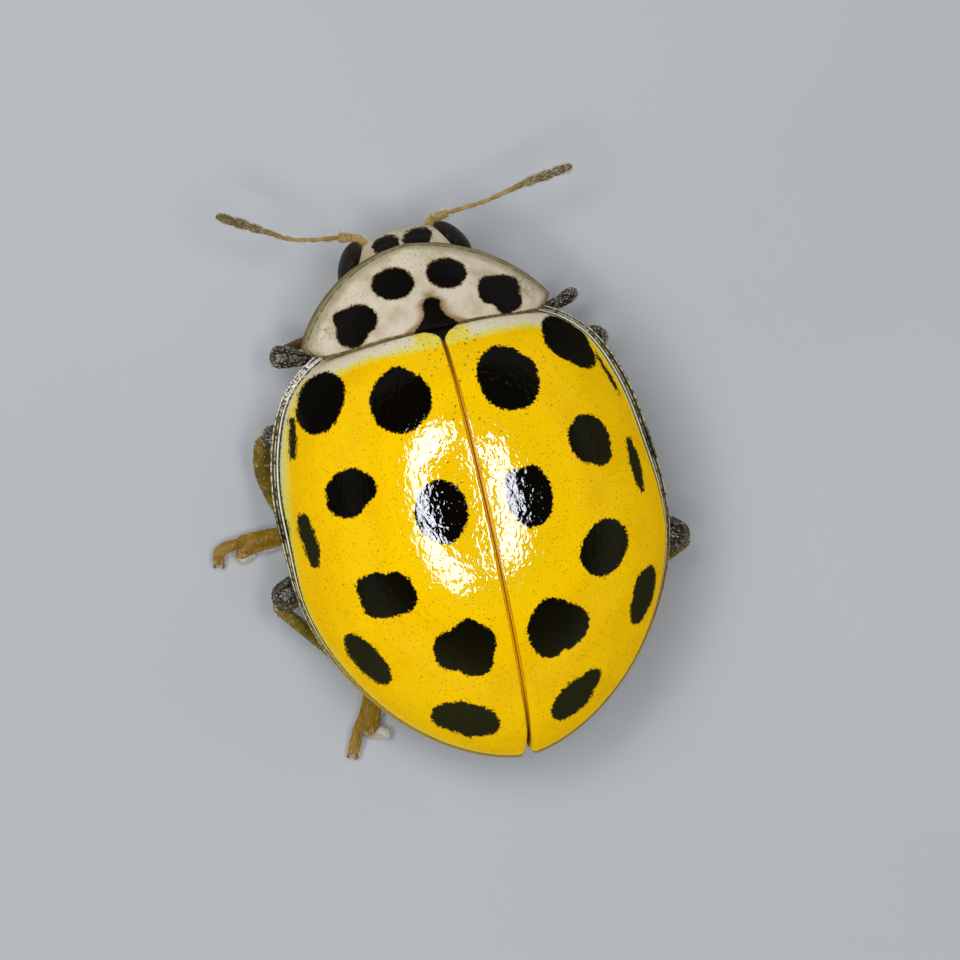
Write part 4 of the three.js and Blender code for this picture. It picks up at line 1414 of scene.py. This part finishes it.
def tubes(batches):
    """One shape from many tubes, each given as rings and how far along its limb it starts and ends."""
    shape = Shape()
    for rings, first, last in batches:
        shape.loft(rings, along=np.linspace(first, last, len(rings))[:, None])
    return shape


BAKE_PATCH = 0.003 * np.array([[0, 0], [1, 0], [0.5, 1], [0.2, 0.2], [0.8, 0.2], [0.5, 0.8], [0.5, 0.5]])


class Coat:
    """Hairs gathered from several limbs, with each root's place on the limb's own unwrap."""

    def __init__(self, seed):
        self.rng = np.random.default_rng(SEED + seed)
        self.roots, self.headings, self.lengths, self.unwrap = [], [], [], []

    def grow(self, rings, count, length, lift, first=0.0, last=1.0):
        """Add hairs on a tube between two shares of its length; `lift` makes them stand out."""
        rows, columns = rings.shape[:2]
        row = self.rng.integers(int(first * (rows - 3)) + 1, int(last * (rows - 3)) + 2, count)
        column = self.rng.integers(0, columns, count)
        centre = rings.mean(axis=1)
        along = np.gradient(centre, axis=0)
        along /= np.linalg.norm(along, axis=1, keepdims=True)
        root = rings[row, column]
        out = root - centre[row]
        out /= np.maximum(np.linalg.norm(out, axis=1, keepdims=True), 1e-9)
        self.roots.append(root)
        self.headings.append(out * lift + along[row] + self.rng.normal(0, 0.14, out.shape))
        self.lengths.append(length * self.rng.uniform(0.65, 1.25, count))
        self.unwrap.append(np.stack([column / columns, row / rows], axis=-1))

    def build(self, name, width, droop, look, slot):
        """Make all the hairs one piece, unwrapped with a tile for each tube that they grow on."""
        points, faces = bristles(np.vstack(self.roots), np.vstack(self.headings),
                                 np.concatenate(self.lengths), width, droop, self.rng)
        obj = piece(name, Shape().add(points, faces), hair_material(look))
        across = math.ceil(math.sqrt(len(self.unwrap)))
        places = [(np.array([k % across, k // across]) + 0.04 + 0.90 * unwrap) / across
                  for k, unwrap in enumerate(self.unwrap)]
        spots = (np.vstack(places)[:, None] + BAKE_PATCH).reshape(-1, 2)
        vertex = np.zeros(len(obj.data.loops), np.int32)
        obj.data.loops.foreach_get("vertex_index", vertex)
        layer = obj.data.uv_layers.new(name="OFBake")
        layer.data.foreach_set("uv", spots[vertex].astype(np.float32).ravel())


# hairs for one tube: how many, their length, how far they stand out and between which shares of the tube
FEELER_HAIRS = [(200, 0.040, 0.85, 0.02, 0.22), (360, 0.030, 0.60, 0.05, 0.70),
                (620, 0.034, 0.55, 0.70, 0.99)]
THIGH_HAIRS = (200, 0.020, 0.60, 0.35, 0.99)
THIGH_GLINTS = (190, 0.007, 0.30, 0.40, 0.97)
SHIN_GLINTS = (50, 0.007, 0.30, 0.05, 0.70)
SHIN_HAIRS = (420, 0.022, 0.75)
FOOT_HAIRS = [(150, 0.028, 0.60), (90, 0.036, 0.30, 0.80, 0.98)]
PAD_HAIRS = (420, 0.017, 0.9)

make_camera()
make_ring()
make_sky()
make_floor()

shell_paint = elytron_material()
piece("wing_case_left", elytron(1, SPOTS_LEFT, 1), shell_paint, ["elytron_left"])
piece("wing_case_right", elytron(-1, SPOTS_RIGHT, 2), shell_paint, ["elytron_right"])
piece("shield", shield(), shield_material(), ["pronotum"])
piece("scutellum_plate", scutellum(), plate_material("black plate"), ["scutellum"])
piece("trunk", trunk(), plate_material("under side"), ["prothorax", "thorax", "abdomen"])
piece("head_shell", head(), head_material(), ["head"])
eye_paint = eye_material()
piece("left_eye", eye(1), eye_paint, ["eye_left"])
piece("right_eye", eye(-1), eye_paint, ["eye_right"])
piece("mouth", mouth(), limb_material("mouthparts"), ["mouthparts"])

feeler_paint = limb_material("feelers")
feeler_coat = Coat(5)
for name, stops in (("left", FEELER_LEFT), ("right", FEELER_RIGHT)):
    rings, shares = feeler(stops)
    shape = Shape().loft(rings, along=shares[:, None] * 1.25)
    piece(f"feeler_{name}", shape, feeler_paint, [f"antenna_{name}"])
    for hairs in FEELER_HAIRS:
        feeler_coat.grow(rings, *hairs)
feeler_coat.build("feeler_hairs", 0.0014, 0.05, "feeler hair", "antennae")

paint = {name: limb_material(name) for name in ("femora", "tibiae", "front tibiae", "tarsi", "claws")}
leg_coat, foot_coat, pad_coat, glint_coat = Coat(6), Coat(7), Coat(8), Coat(9)
all_claws, all_pads = [], []
for name in LEGS:
    thigh, shin = femur(name), tibia(name)
    joints, pads, claws = tarsus(name)
    shin_paint = paint["front tibiae" if name.startswith("front") else "tibiae"]
    foot = tubes([(joints[0], 0, 0.35), (joints[1], 0.2, 0.4), (joints[2], 0.4, 1.0)])
    piece(f"{name}_thigh", tubes([(thigh, 0, 0.6)]), paint["femora"], [f"leg_{name}_femur"])
    piece(f"{name}_shin", tubes([(shin, 0, 0.8)]), shin_paint, [f"leg_{name}_tibia"])
    piece(f"{name}_foot", foot, paint["tarsi"], [f"leg_{name}_tarsus"])
    all_claws += [(rings, 0.2, 1.0) for rings in claws]
    all_pads += [(rings, 0, 1) for rings in pads]
    leg_coat.grow(thigh, *THIGH_HAIRS)
    glint_coat.grow(thigh, *THIGH_GLINTS)
    glint_coat.grow(shin, *SHIN_GLINTS)
    leg_coat.grow(shin, *SHIN_HAIRS)
    for rings in joints:
        for hairs in FOOT_HAIRS:
            foot_coat.grow(rings, *hairs)
    for rings in pads:
        pad_coat.grow(rings, *PAD_HAIRS)
piece("claws", tubes(all_claws), paint["claws"])
piece("foot_pads", tubes(all_pads), hair_material("foot pads"))
leg_coat.build("leg_hairs", 0.0016, 0.04, "leg hair", "femora")
glint_coat.build("leg_glints", 0.0034, 0.02, "leg glints", "femora")
foot_coat.build("foot_hairs", 0.0018, 0.1, "foot hair", "tarsi")
pad_coat.build("pad_hairs", 0.0014, 0.1, "pad hair", "tarsi")
